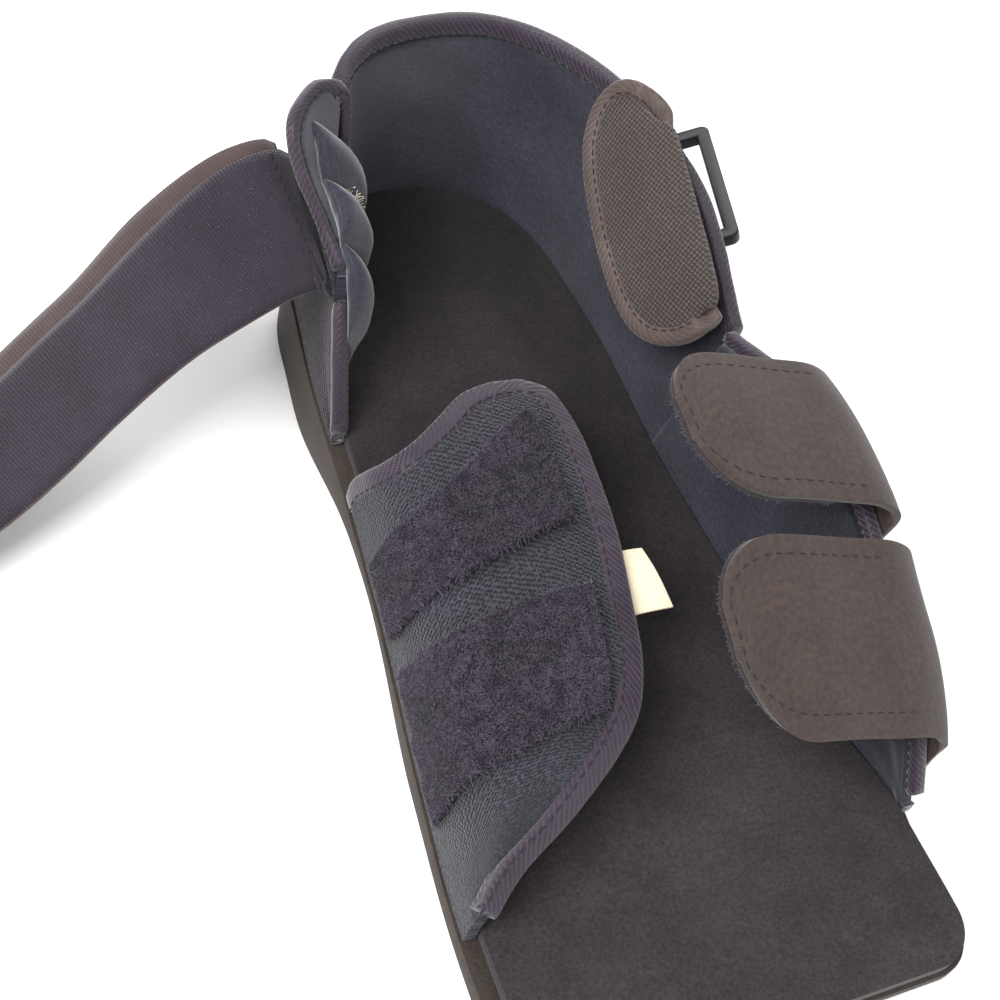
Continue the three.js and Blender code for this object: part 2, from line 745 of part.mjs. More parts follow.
// The flap's border: up its rear edge, then along the free edge to the front
function flapBinding() {
  const rearSteps = 8;
  const freeSteps = 30;
  const border = (p) => {
    const step = p * (rearSteps + freeSteps);
    if (step <= rearSteps) return flapPoint(flapRear, step / rearSteps);
    return flapPoint(lerp(flapRear, flapFront, (step - rearSteps) / freeSteps), 1);
  };
  const surfaceNormal = (p) => {
    const step = p * (rearSteps + freeSteps);
    const share = Math.min(step / rearSteps, 1);
    const y = lerp(flapRear, flapFront, Math.max(0, step - rearSteps) / freeSteps);
    const along = flapPoint(y - 0.5, share).sub(flapPoint(y + 0.5, share));
    const across = flapPoint(y, Math.min(1, share + 0.01)).sub(flapPoint(y, Math.max(0, share - 0.01)));
    return across.cross(along).normalize();
  };
  const steps = rearSteps + freeSteps;
  const sections = [];
  for (let i = 0; i <= steps; i++) {
    const p = i / steps;
    const tangent = border(Math.min(1, p + 1.5 / steps)).sub(border(Math.max(0, p - 1.5 / steps))).normalize();
    const normal = surfaceNormal(p);
    const inward = normal.clone().cross(tangent).normalize();
    const centre = border(p).addScaledVector(inward, flapBindingWidth / 2);
    sections.push(bandSection(centre, inward, normal, flapBindingWidth, flapBindingThickness));
  }
  return sweep(sections, false);
}

function loopPatch({ seamRear, seamFront, freeRear, freeFront }) {
  const surface = (u, v) => {
    const share = lerp(patchSpan.from, patchSpan.to, v);
    const y = lerp(lerp(seamRear, freeRear, v), lerp(seamFront, freeFront, v), u);
    return flapPoint(y, share);
  };
  const lift = flapThickness / 2 + 2 * clearance + patchThickness / 2;
  const sign = Math.sign(normalAt(surface, 0.5, 0.5).z);
  return sheet(8, 9, offsetFrom(surface, sign * lift), patchThickness);
}

// Right side wall
const sideHigh = column(sideProfile, 'height');
const sideFlareShare = column(sideProfile, 'flare');
const sideRear = wrapRightFront - 2 * clearance;
const sideShare = (y) => (sideRear - y) / (sideRear - sidePanelFront);
const sideTop = (y) => sideHigh(sideShare(y)) * sidePanelHeight;

function sidePoint(y, height) {
  const base = seamHeight(y) + footGap;
  const share = (height - base) / (sideTop(y) - base);
  const out = sideFlare * sideFlareShare(sideShare(y)) * share;
  return vector(rightEdge(y) + footGap + wallThickness / 2 + out, y, height);
}

function sidePanel() {
  const surface = (u, v) => {
    const y = lerp(sideRear, sidePanelFront, u);
    const slope = sideTop(y + 0.5) - sideTop(y - 0.5);
    const inset = (sideBindingHeight + 3 * clearance) * Math.hypot(1, slope);
    return sidePoint(y, lerp(seamHeight(y) + footGap, sideTop(y) - inset, v));
  };
  return sheet(18, 5, surface, wallThickness);
}

function sideBinding() {
  const border = (p) => {
    const y = lerp(sideRear, sidePanelFront, p);
    const tangent = sidePoint(y - 0.5, sideTop(y - 0.5)).sub(sidePoint(y + 0.5, sideTop(y + 0.5))).normalize();
    const normal = vector(1, 0, 0);
    const inward = normal.clone().cross(tangent).normalize();
    if (inward.z > 0) inward.negate();
    return { edge: sidePoint(y, sideTop(y)), inward, normal };
  };
  return borderBand(20, border, sideBindingHeight, wallThickness + 1);
}

// Forefoot strap: up the outside of the wall, over its top and inwards, with a rounded tip
function strapSurface(rear, width, reach) {
  const seat = (wallThickness + 1) / 2 + 3 * clearance + strapThickness / 2;
  const run = new THREE.CatmullRomCurve3(strapRun.map(({ out, up }) => vector(
    seat + out * reach,
    0,
    up < 0 ? up * forefootStrapRoot : up * reach,
  )), false, 'centripetal');
  const length = run.getLength();
  return (u, v) => {
    const along = 1 - (1 - u) ** 1.4;
    const toTip = clamp(1 - ((1 - along) * length) / strapTipLength, 0, 1);
    const narrow = Math.max(0.3, (1 - toTip ** 2.2) ** (1 / 2.2));
    const y = rear - width * (0.5 + (v - 0.5) * narrow);
    const place = run.getPointAt(clamp(along, 0, 1));
    const height = sideTop(y);
    const wall = sidePoint(y, height + Math.min(0, place.z));
    return vector(wall.x + place.x, y - 0.08 * place.x, height + place.z);
  };
}

function strapSheets(rear, width, reach) {
  const surface = strapSurface(rear, width, reach);
  const under = (u, v) => surface(lerp(0.45, 1, u), v);
  const sign = -Math.sign(normalAt(under, 0.5, 0.5).z);
  const lift = strapThickness / 2 + clearance + hookThickness / 2;
  return {
    strap: sheet(18, 8, surface, strapThickness),
    hook: sheet(11, 8, offsetFrom(under, sign * lift), hookThickness),
  };
}

// Ankle strap: out from the tab, folded over at its far end and back behind itself
function ankleStrap() {
  const out = [ankleRoot.clone().add(ankleTuck), ankleRoot.clone().addScaledVector(ankleTuck, 0.35)];
  const end = ankleRoot.clone();
  out.push(end.clone());
  for (const { length, x, y, z } of ankleRun) {
    const direction = vector(x, y, z).normalize();
    out.push(end.addScaledVector(direction, length * ankleStrapReach).clone());
  }
  const curve = new THREE.CatmullRomCurve3(out, false, 'centripetal');
  const across = (at) => ankleAcrossRoot.clone().lerp(ankleAcrossEnd, smoothstep(at, 0, ankleTwist)).normalize();
  const frame = (at) => {
    const tangent = curve.getTangentAt(at);
    const side = across(at);
    side.addScaledVector(tangent, -side.dot(tangent)).normalize();
    return { point: curve.getPointAt(at), tangent, side, normal: side.clone().cross(tangent).normalize() };
  };
  const sections = [];
  const section = (point, side, normal) => {
    const corners = [[1, 1], [-1, 1], [-1, -1], [1, -1]];
    sections.push(corners.map(([a, n]) => point.clone()
      .addScaledVector(side, (a * ankleStrapWidth) / 2)
      .addScaledVector(normal, (n * ankleStrapThickness) / 2)));
  };
  const layerStep = ankleStrapThickness + ankleStrapLayerGap;
  const outSteps = 26;
  for (let i = 0; i <= outSteps; i++) {
    const { point, side, normal } = frame(i / outSteps);
    section(point, side, normal);
  }
  const foldSteps = 8;
  const tip = frame(1);
  const behind = tip.normal.clone().multiplyScalar(tip.normal.z > 0 ? -1 : 1);
  for (let i = 1; i < foldSteps; i++) {
    const angle = (i / foldSteps) * Math.PI;
    const radius = layerStep / 2;
    const point = tip.point.clone()
      .addScaledVector(behind, radius * (1 - Math.cos(angle)))
      .addScaledVector(tip.tangent, radius * Math.sin(angle))
      .addScaledVector(tip.side, -ankleStrapShift * 0.15 * (i / foldSteps));
    const turned = tip.normal.clone().applyAxisAngle(tip.side, tip.normal.z > 0 ? -angle : angle);
    section(point, tip.side, turned);
  }
  const backSteps = 22;
  const backStart = 0.07;
  for (let i = 0; i <= backSteps; i++) {
    const at = lerp(1, backStart, i / backSteps);
    const { point, side, normal } = frame(at);
    const away = normal.z > 0 ? -1 : 1;
    const shift = ankleStrapShift * (0.15 + 0.85 * smoothstep(i / backSteps, 0, 0.35))
      * lerp(1, 0.42, smoothstep(i / backSteps, 0.6, 1));
    point.addScaledVector(normal, away * layerStep).addScaledVector(side, -shift);
    section(point, side, normal.negate());
  }
  return sweep(sections, false);
}

// Bare label that shows from under the flap's free edge
function label() {
  const surface = (u, v) => {
    const y = lerp(-17, -17 - labelLength, u);
    const edge = flapPoint(y, 1);
    const under = flapPoint(y, 0.9).z;
    return vector(edge.x - 6 + labelWidth * v, y + 2 * v, under - flapBindingThickness / 2 - 1 - 3 * v ** 2);
  };
  return sheet(4, 6, surface, labelThickness);
}

function mesh(name, geometry, color, roughness, metalness = 0) {
  const material = new THREE.MeshStandardMaterial({ color, roughness, metalness });
  const piece = new THREE.Mesh(geometry, material);
  piece.name = name;
  return piece;
}

const lining = '#33333d';
const satin = '#5c5058';
const microfibre = '#665c58';

const shoe = new THREE.Group();
shoe.add(mesh('outsole', outsole(), '#6b605c', 0.85));
shoe.add(mesh('footbed', footbed(), '#3d3a38', 0.95));
shoe.add(mesh('heel_wrap', heelWrap(), lining, 0.9));
shoe.add(mesh('notch_binding', wrapEdgeBand(0, tabColumnStart - 1), satin, 0.6));
shoe.add(mesh('collar_binding', wrapEdgeBand(tabColumnEnd + 1, wrapColumns), satin, 0.6));
shoe.add(mesh('left_tab', leftTab(), lining, 0.9));
shoe.add(mesh('left_tab_binding', leftTabBinding(), satin, 0.6));
shoe.add(mesh('left_tab_lining', leftTabLining(), lining, 0.8));
shoe.add(mesh('right_tab_panel', rightTabPanel(), '#5f5650', 0.9));
shoe.add(mesh('right_tab_binding', rightTabBinding(), '#746860', 0.6));
shoe.add(mesh('strap_ring', ring(), '#3a343c', 0.4));
shoe.add(mesh('ring_keeper', ringKeeper(), '#4a4450', 0.9));
shoe.add(mesh('forefoot_flap', flapPanel(), '#3c3c42', 0.95));
shoe.add(mesh('flap_binding', flapBinding(), satin, 0.6));
for (const [name, corners] of Object.entries(patches)) {
  shoe.add(mesh(name, loopPatch(corners), '#352e3c', 1));
}
shoe.add(mesh('side_panel', sidePanel(), lining, 0.9));
shoe.add(mesh('side_binding', sideBinding(), satin, 0.6));
for (const [name, rear, width, reach] of [
  ['rear_strap', rearStrapRear, rearStrapWidth, rearStrapReach],
  ['front_strap', frontStrapRear, frontStrapWidth, frontStrapReach],
]) {
  const { strap, hook } = strapSheets(rear, width, reach);
  shoe.add(mesh(name, strap, microfibre, 0.9));
  shoe.add(mesh(`${name}_hook`, hook, '#3a3438', 0.8));
}
shoe.add(mesh('ankle_strap', ankleStrap(), '#4a4450', 0.9));
shoe.add(mesh('label', label(), '#fff3d8', 0.8));

shoe.position.set(0, -heelRestCentre, 0);

export default shoe;
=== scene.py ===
"""Looks of the post operative shoe: sole, cloth walls, flap, tabs, straps and trim."""

from __future__ import annotations

import logging
import math
from dataclasses import dataclass, field
from enum import Enum
from typing import Callable, Iterable, Sequence

import bmesh
import bpy
from mathutils import Matrix, Vector, noise


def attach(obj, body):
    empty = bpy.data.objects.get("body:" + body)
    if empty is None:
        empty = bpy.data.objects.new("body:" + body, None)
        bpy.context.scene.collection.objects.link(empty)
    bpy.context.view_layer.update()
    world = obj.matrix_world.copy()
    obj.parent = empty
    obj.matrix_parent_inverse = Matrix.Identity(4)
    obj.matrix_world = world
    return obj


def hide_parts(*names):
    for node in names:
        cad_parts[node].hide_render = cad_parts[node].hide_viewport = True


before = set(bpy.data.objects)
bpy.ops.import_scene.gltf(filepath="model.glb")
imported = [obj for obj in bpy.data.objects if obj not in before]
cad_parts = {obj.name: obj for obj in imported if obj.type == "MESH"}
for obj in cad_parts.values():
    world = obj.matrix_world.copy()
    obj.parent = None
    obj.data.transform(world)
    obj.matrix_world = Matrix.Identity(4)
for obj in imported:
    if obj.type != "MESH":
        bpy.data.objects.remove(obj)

LOG = logging.getLogger("shoe")
MM = 0.001
HEEL_REST_CENTRE = 106.0
BODY = "shoe"
RING_BODY = "ring"

Row = tuple[float, ...]
Surface = Callable[[float, float], Vector]
Tree = bpy.types.NodeTree
Socket = bpy.types.NodeSocket
Piece = bpy.types.Object


def to_frame(point: Vector) -> Vector:
    """Turns a point in millimetres from the middle of the insole into metres in the shared frame.

    Args:
        point: place in millimetres.

    Returns:
        The same place in metres, from the middle of the heel's flat underside.
    """
    return Vector((point.x, point.y - HEEL_REST_CENTRE, point.z)) * MM


def lerp(low: float, high: float, share: float) -> float:
    """Goes from low to high by a share."""
    return low + (high - low) * share


def clamp(value: float, low: float, high: float) -> float:
    """Keeps a value between two limits."""
    return max(low, min(high, value))


def smoothstep(value: float, low: float, high: float) -> float:
    """Rises smoothly from 0 at low to 1 at high."""
    share = clamp((value - low) / (high - low), 0.0, 1.0)
    return share * share * (3 - 2 * share)


def spline(rows: Sequence[Row], at: float, column: int) -> float:
    """Smooth curve through one column of a table whose first column is the place.

    Args:
        rows: the table, its places rising.
        at: where to read it.
        column: which column.

    Returns:
        The curve's value there.
    """
    at = clamp(at, rows[0][0], rows[-1][0])
    upper = next((i for i in range(1, len(rows)) if at < rows[i][0]), len(rows) - 1)
    before = upper - 2 if upper >= 2 else upper
    after = upper + 1 if upper + 1 < len(rows) else upper - 1
    start, end = rows[upper - 1][0], rows[upper][0]
    half = (end - start) / 2
    weight_before = half / (start - rows[before][0])
    weight_after = half / (rows[after][0] - end)
    p = (at - start) / (end - start)
    pp, ppp = p * p, p * p * p
    value = (-weight_before * ppp + 2 * weight_before * pp - weight_before * p) * rows[before][column]
    value += ((1 + weight_before) * ppp + (-1.5 - 2 * weight_before) * pp
              + (-0.5 + weight_before) * p + 1) * rows[upper - 1][column]
    value += ((-1 - weight_after) * ppp + (1.5 + weight_after) * pp + 0.5 * p) * rows[upper][column]
    value += (weight_after * ppp - weight_after * pp) * rows[after][column]
    return value


class SmoothPath:
    """Centripetal Catmull-Rom curve through points, read by the share of its length."""

    def __init__(self, points: Sequence[Vector], steps: int = 24, closed: bool = False) -> None:
        """Samples the curve.

        Args:
            points: what the curve passes through.
            steps: samples between two points.
            closed: joins its end to its start.
        """
        self.closed = closed
        if closed:
            knots = [points[-1], *points, points[0], points[1]]
        else:
            knots = [points[0] * 2 - points[1], *points, points[-1] * 2 - points[-2]]
        self.samples: list[Vector] = []
        for i in range(1, len(knots) - 2):
            for k in range(steps):
                self.samples.append(self._between(knots[i - 1: i + 3], k / steps))
        self.samples.append((points[0] if closed else points[-1]).copy())
        self.lengths = [0.0]
        for a, b in zip(self.samples, self.samples[1:]):
            self.lengths.append(self.lengths[-1] + (b - a).length)
        self.length = self.lengths[-1]

    @staticmethod
    def _between(knots: Sequence[Vector], t: float) -> Vector:
        """Point between the middle two of four knots."""
        a, b, c, d = knots
        gaps = [max((q - p).length ** 0.5, 1e-4) for p, q in ((a, b), (b, c), (c, d))]
        lead = ((b - a) / gaps[0] - (c - a) / (gaps[0] + gaps[1]) + (c - b) / gaps[1]) * gaps[1]
        tail = ((c - b) / gaps[1] - (d - b) / (gaps[1] + gaps[2]) + (d - c) / gaps[2]) * gaps[1]
        return (b + lead * t + (c * 3 - b * 3 - lead * 2 - tail) * t ** 2
                + (b * 2 - c * 2 + lead + tail) * t ** 3)

    def point(self, share: float) -> Vector:
        """Point at a share of the curve's length."""
        target = (share % 1 if self.closed else clamp(share, 0, 1)) * self.length
        low, high = 0, len(self.lengths) - 1
        while high - low > 1:
            middle = (low + high) // 2
            if self.lengths[middle] <= target:
                low = middle
            else:
                high = middle
        gap = self.lengths[high] - self.lengths[low]
        between = (target - self.lengths[low]) / gap if gap else 0
        return self.samples[low].lerp(self.samples[high], between)

    def tangent(self, share: float) -> Vector:
        """Direction of the curve at a share of its length."""
        step = 1e-3
        low, high = share - step, share + step
        if not self.closed:
            low, high = max(low, 0), min(high, 1)
        return (self.point(high) - self.point(low)).normalized()


@dataclass
class ShoeForm:
    """Sizes and surfaces of the shoe, the same as in the part's source, in millimetres."""

    insole_length: float = 260
    forefoot_half: float = 59
    bed_heel: float = 28
    bed_ball: float = 9.5
    footbed_thickness: float = 4
    sole_ledge: float = 4.5
    toe_lip: float = 1
    toe_corner: float = 12
    heel_round: float = 40
    heel_squareness: float = 2.3
    clearance: float = 0.3
    foot_gap: float = 1
    heel_block_front: float = 78
    arch_rise: float = 9
    arch_rear: float = 18
    arch_front: float = 12
    ball_rear: float = -48
    toe_spring: float = 3.5
    toe_spring_start: float = -95
    wall: float = 3
    collar_height: float = 88
    collar_band: float = 6
    wrap_left_front: float = 46
    wrap_right_front: float = 30
    wrap_lean: float = 12
    wrap_columns: int = 60
    tab_start: int = 6
    tab_end: int = 16
    tab_reach: float = 14
    flap_rear: float = 40
    flap_front: float = -90
    flap_reach: float = 55
    flap_height: float = 43
    flap_thickness: float = 3
    side_front: float = -90
    side_height: float = 66
    side_flare: float = 12
    # place from the toe, right and left half widths, ledge
    outline: tuple[Row, ...] = (
        (0, 1.0, 0.98, 0.25), (0.1, 1.01, 0.98, 0.25), (0.18, 1.0, 0.965, 1), (0.31, 0.86, 0.905, 1),
        (0.46, 0.765, 0.83, 1), (0.61, 0.68, 0.785, 1), (0.75, 0.64, 0.765, 1), (0.875, 0.58, 0.7, 1),
        (1, 0.56, 0.66, 1),
    )
    # place from the toe, height of the footbed
    bed_profile: tuple[Row, ...] = ((0, 0.08), (0.2, 0), (0.4, 0.13), (0.58, 0.45), (0.76, 0.83), (1, 1))
    # place round the wrap, height, lean
    wrap_profile: tuple[Row, ...] = (
        (0, 0.31, 0), (0.04, 0.47, -0.07), (0.09, 0.63, -0.17), (0.15, 0.7, -0.23), (0.22, 0.77, -0.27),
        (0.27, 0.92, -0.23), (0.33, 0.985, -0.13), (0.46, 1, 0), (0.62, 0.985, 0.38),
        (0.75, 0.975, 0.75), (0.87, 0.91, 0.92), (1, 0.705, 0.92),
    )
    # place along the tab, out, forward, rise
    tab_edge: tuple[Row, ...] = (
        (0, 0.14, 0.08, 0.24), (0.3, 0.5, 0.15, 0.5), (0.55, 0.88, 0.24, 0.93), (0.8, 1.07, 0.36, 1.22),
        (1, 0.6, 0.33, 0.76),
    )
    # place from the flap's rear, reach, height
    flap_profile: tuple[Row, ...] = (
        (0, 0.82, 0.98), (0.03, 0.93, 0.99), (0.08, 0.98, 1), (0.31, 1, 1), (0.54, 0.945, 0.98),
        (0.715, 0.87, 0.94), (0.785, 0.78, 0.9), (0.846, 0.62, 0.83), (0.9, 0.42, 0.72),
        (0.946, 0.21, 0.58), (1, 0.05, 0.44),
    )
    # place from the seam to the free edge, how far the flap's rear edge is cut back
    flap_cut: tuple[Row, ...] = (
        (0, 8.5), (0.1, 8.8), (0.18, 11), (0.3, 14.2), (0.42, 14), (0.55, 9), (0.7, 2.7),
        (0.85, 0.2), (1, 0),
    )
    # place from the seam to the free edge, across, up
    flap_section: tuple[Row, ...] = (
        (0, 0, 0), (0.14, 0.02, 0.35), (0.27, 0.08, 0.66), (0.4, 0.2, 0.87), (0.55, 0.41, 0.97),
        (0.78, 0.71, 1), (1, 1, 0.97),
    )
    # place from the side wall's rear, height, flare
    side_profile: tuple[Row, ...] = (
        (0, 0.94, 0.67), (0.2, 1, 0.95), (0.5, 0.93, 0.75), (0.75, 0.72, 0.3), (0.9, 0.5, 0.08),
        (1, 0.25, 0),
    )
    wrap_foot: SmoothPath = field(init=False)

    def __post_init__(self) -> None:
        """Lays the line of the heel wrap's foot."""
        steps = 14
        heel = self.insole_length / 2
        share = [math.sin(i / steps * math.pi / 2) for i in range(steps)]
        left = [lerp(self.wrap_left_front, heel, s) for s in share]
        right = [lerp(self.wrap_right_front, heel, s) for s in reversed(share)]
        points = [Vector((-self.left_edge(y), y, 0)) for y in left]
        points.append(Vector((0, heel, 0)))
        points += [Vector((self.right_edge(y), y, 0)) for y in right]
        self.wrap_foot = SmoothPath(points)

    def along(self, y: float) -> float:
        """Share of the insole's length at y, from the toe."""
        return y / self.insole_length + 0.5

    def end_factor(self, y: float, grown: float) -> float:
        """Narrowing of an outline, grown by a margin, at the round heel."""
        reach = (y - self.insole_length / 2 - grown + self.heel_round) / self.heel_round
        if reach <= 0:
            return 1
        power = self.heel_squareness
        return max(0.22, (1 - min(reach, 1) ** power) ** (1 / power))

    def toe_cut(self, y: float, grown: float) -> float:
        """What the rounded toe corners take off each half width."""
        into = self.toe_corner - (y + self.insole_length / 2 + grown)
        if into <= 0:
            return 0
        return self.toe_corner - math.sqrt(max(0, self.toe_corner ** 2 - into ** 2))

    def _edge(self, y: float, column: int) -> float:
        """Half width of the insole from one column of its outline."""
        width = spline(self.outline, self.along(y), column) * self.forefoot_half
        return width * self.end_factor(y, 0) - self.toe_cut(y, 0)

    def right_edge(self, y: float) -> float:
        """Right half width of the insole."""
        return self._edge(y, 1)

    def left_edge(self, y: float) -> float:
        """Left half width of the insole."""
        return self._edge(y, 2)

    def bed(self, y: float) -> float:
        """Height of the footbed's top."""
        return lerp(self.bed_ball, self.bed_heel, spline(self.bed_profile, self.along(y), 1))

    def seam(self, y: float) -> float:
        """Height of the seam between sole and upper."""
        return self.bed(y) - self.footbed_thickness

    def underside(self, y: float) -> float:
        """Height of the sole's underside."""
        arch = smoothstep(y, self.ball_rear, self.arch_front)
        arch *= 1 - smoothstep(y, self.arch_rear, self.heel_block_front)
        spring = max(0, (self.toe_spring_start - y) / (self.insole_length / 2 + self.toe_spring_start))
        return self.arch_rise * arch + self.toe_spring * spring ** 2

    def wrap_top(self, at: float) -> float:
        """Height of the heel wrap's finished top."""
        return spline(self.wrap_profile, at, 1) * self.collar_height

    def wrap_base(self, at: float) -> float:
        """Height of the heel wrap's foot."""
        return self.seam(self.wrap_foot.point(at).y) + self.foot_gap

    def wrap_outward(self, at: float) -> Vector:
        """Level direction out of the heel wrap."""
        tangent = self.wrap_foot.tangent(at)
        return Vector((-tangent.y, tangent.x, 0)).normalized()

    def wrap_point(self, at: float, height: float) -> Vector:
        """Point on the middle of the heel wrap."""
        base = self.wrap_base(at)
        share = (height - base) / (self.wrap_top(at) - base)
        out = self.foot_gap + self.wall / 2 + self.wrap_lean * spline(self.wrap_profile, at, 2) * share
        point = self.wrap_foot.point(at) + self.wrap_outward(at) * out
        return Vector((point.x, point.y, height))

    def seat(self, at: float, height: float, out: float) -> Vector:
        """Place set out from the middle of the heel wrap, its height a share of the collar's."""
        return self.wrap_point(at, height * self.collar_height) + self.wrap_outward(at) * out

    def tab_point(self, u: float, v: float) -> Vector:
        """Point on the middle of the left ankle tab, u from front to rear, v from root to edge."""
        at = lerp(self.tab_start + 0.3, self.tab_end - 0.3, u) / self.wrap_columns
        root = self.wrap_point(at, self.wrap_top(at))
        root.z += self.clearance + self.wall * 0.2
        out, forward, rise = (spline(self.tab_edge, u, k) for k in (1, 2, 3))
        reach = self.tab_reach
        return root + Vector((-reach * out * v ** 1.4, -reach * forward * v, reach * rise * v))

    def flap_point(self, place: float, share: float) -> Vector:
        """Point on the flap's middle, by its place along the free edge and from its seam."""
        at = (self.flap_rear - place) / (self.flap_rear - self.flap_front)
        y = place - spline(self.flap_cut, share, 1) * (1 - at) ** 2
        reach = self.flap_reach * spline(self.flap_profile, at, 1)
        base = self.seam(y) + self.foot_gap
        rise = self.flap_height * spline(self.flap_profile, at, 2) - base
        x = -self.left_edge(y) - self.foot_gap - self.flap_thickness / 2
        x += reach * spline(self.flap_section, share, 1)
        return Vector((x, y, base + rise * spline(self.flap_section, share, 2)))

    def flap_span(self, y: float) -> float:
        """Length of the flap's cloth from its seam to its free edge."""
        steps = 16
        return run_length([self.flap_point(y, i / steps) for i in range(steps + 1)])

    def flap_inset(self, y: float, inset: float) -> float:
        """Share of the flap's span at which a line set in from its free edge runs."""
        steps = 24
        least = math.inf
        for i in range(steps + 1):
            shift = inset * (-1 + 2 * i / steps)
            there = clamp(y + shift, self.flap_front, self.flap_rear)
            least = min(least, self.flap_span(there) - math.sqrt(max(0, inset ** 2 - shift ** 2)))
        return max(0.05, least / self.flap_span(y))

    @property
    def side_rear(self) -> float:
        """Where the right side wall begins."""
        return self.wrap_right_front - 2 * self.clearance

    def side_share(self, y: float) -> float:
        """Share of the side wall's length at y, from its rear."""
        return (self.side_rear - y) / (self.side_rear - self.side_front)

    def side_top(self, y: float) -> float:
        """Height of the side wall's finished top."""
        return spline(self.side_profile, self.side_share(y), 1) * self.side_height

    def side_point(self, y: float, height: float) -> Vector:
        """Point on the middle of the right side wall."""
        base = self.seam(y) + self.foot_gap
        share = (height - base) / (self.side_top(y) - base)
        out = self.side_flare * spline(self.side_profile, self.side_share(y), 2) * share
        return Vector((self.right_edge(y) + self.foot_gap + self.wall / 2 + out, y, height))


def normal_at(surface: Surface, u: float, v: float) -> Vector:
    """Direction square to a surface."""
    step = 2e-3
    du = surface(min(u + step, 1), v) - surface(max(u - step, 0), v)
    dv = surface(u, min(v + step, 1)) - surface(u, max(v - step, 0))
    return du.cross(dv).normalized()


def offset(surface: Surface, distance: float) -> Surface:
    """The same surface moved along its own normal."""
    return lambda u, v: surface(u, v) + normal_at(surface, u, v) * distance


def ripple(surface: Surface, height: float, scale: float, seed: float) -> Surface:
    """A surface with gentle uneven swells, as cloth has.

    Args:
        surface: the even surface.
        height: how far the swells stand up, in millimetres.
        scale: swells for each millimetre.
        seed: where in the noise they are read.

    Returns:
        The uneven surface.
    """
    def swelled(u: float, v: float) -> Vector:
        point = surface(u, v)
        amount = noise.noise(point * scale + Vector((seed, -seed, seed * 0.5)))
        return point + normal_at(surface, u, v) * (height * amount)
    return swelled


def add_node(
    tree: Tree,
    kind: str,
    links: dict[str | int, object] | None = None,
    **settings: object,
) -> bpy.types.Node:
    """Adds one node with its settings and links.

    Args:
        tree: the tree that it goes into.
        kind: the node's type.
        links: for each input, a socket to link or a value to set.
        settings: the node's own properties.

    Returns:
        The new node.
    """
    node = tree.nodes.new(kind)
    for key, value in settings.items():
        setattr(node, key, value)
    for name, value in (links or {}).items():
        socket = node.inputs[name]
        if isinstance(value, Socket):
            tree.links.new(value, socket)
        else:
            socket.default_value = value
    return node


def link(name: str, data: bpy.types.ID) -> Piece:
    """Makes an object of its data and puts it into the scene."""
    piece = bpy.data.objects.new(name, data)
    bpy.context.scene.collection.objects.link(piece)
    return piece


def shade_smooth(data: bpy.types.Mesh) -> None:
    """Shades every face of a mesh smooth."""
    data.polygons.foreach_set("use_smooth", [True] * len(data.polygons))


def round_edges(
    piece: Piece, width: float, segments: int, sharper_than: float = 50
) -> bpy.types.Modifier:
    """Rounds the sharp edges of a piece.

    Args:
        piece: the object.
        width: of the rounding, in millimetres.
        segments: faces across the rounding.
        sharper_than: least angle of an edge that is rounded, in degrees.

    Returns:
        The modifier that rounds them.
    """
    edge = piece.modifiers.new("edge", "BEVEL")
    edge.width = width * MM
    edge.segments = segments
    edge.limit_method = "ANGLE"
    edge.angle_limit = math.radians(sharper_than)
    return edge


def grid_faces(rows: int, columns: int) -> list[tuple[int, ...]]:
    """Corner numbers of the faces of a grid of points, row by row."""
    step = columns + 1
    return [
        (i * step + j, i * step + j + 1, (i + 1) * step + j + 1, (i + 1) * step + j)
        for i in range(rows) for j in range(columns)
    ]


def run_length(points: Sequence[Vector]) -> float:
    """Length of a line through points."""
    return sum((b - a).length for a, b in zip(points, points[1:]))


def linear(colour: str) -> tuple[float, float, float, float]:
    """Turns an sRGB hex colour to linear light."""
    parts = [int(colour[i: i + 2], 16) / 255 for i in (1, 3, 5)]
    values = [p / 12.92 if p <= 0.04045 else ((p + 0.055) / 1.055) ** 2.4 for p in parts]
    return (values[0], values[1], values[2], 1.0)


class Weave(Enum):
    """How a finish's surface was made."""

    TWILL = "twill tape"
    SPACER = "coarse spacer mesh"
    NET = "open warp-knit net"
    WEBBING = "woven webbing"
    NUBUCK = "brushed microfibre"
    FOAM = "foam rubber"
    BRUSHED = "brushed tricot"
    PILE = "loop pile"
    MOULDED = "moulded plastic"


class Space(Enum):
    """Which coordinates a finish reads."""

    CLOTH = "UV"
    SOLID = "Object"


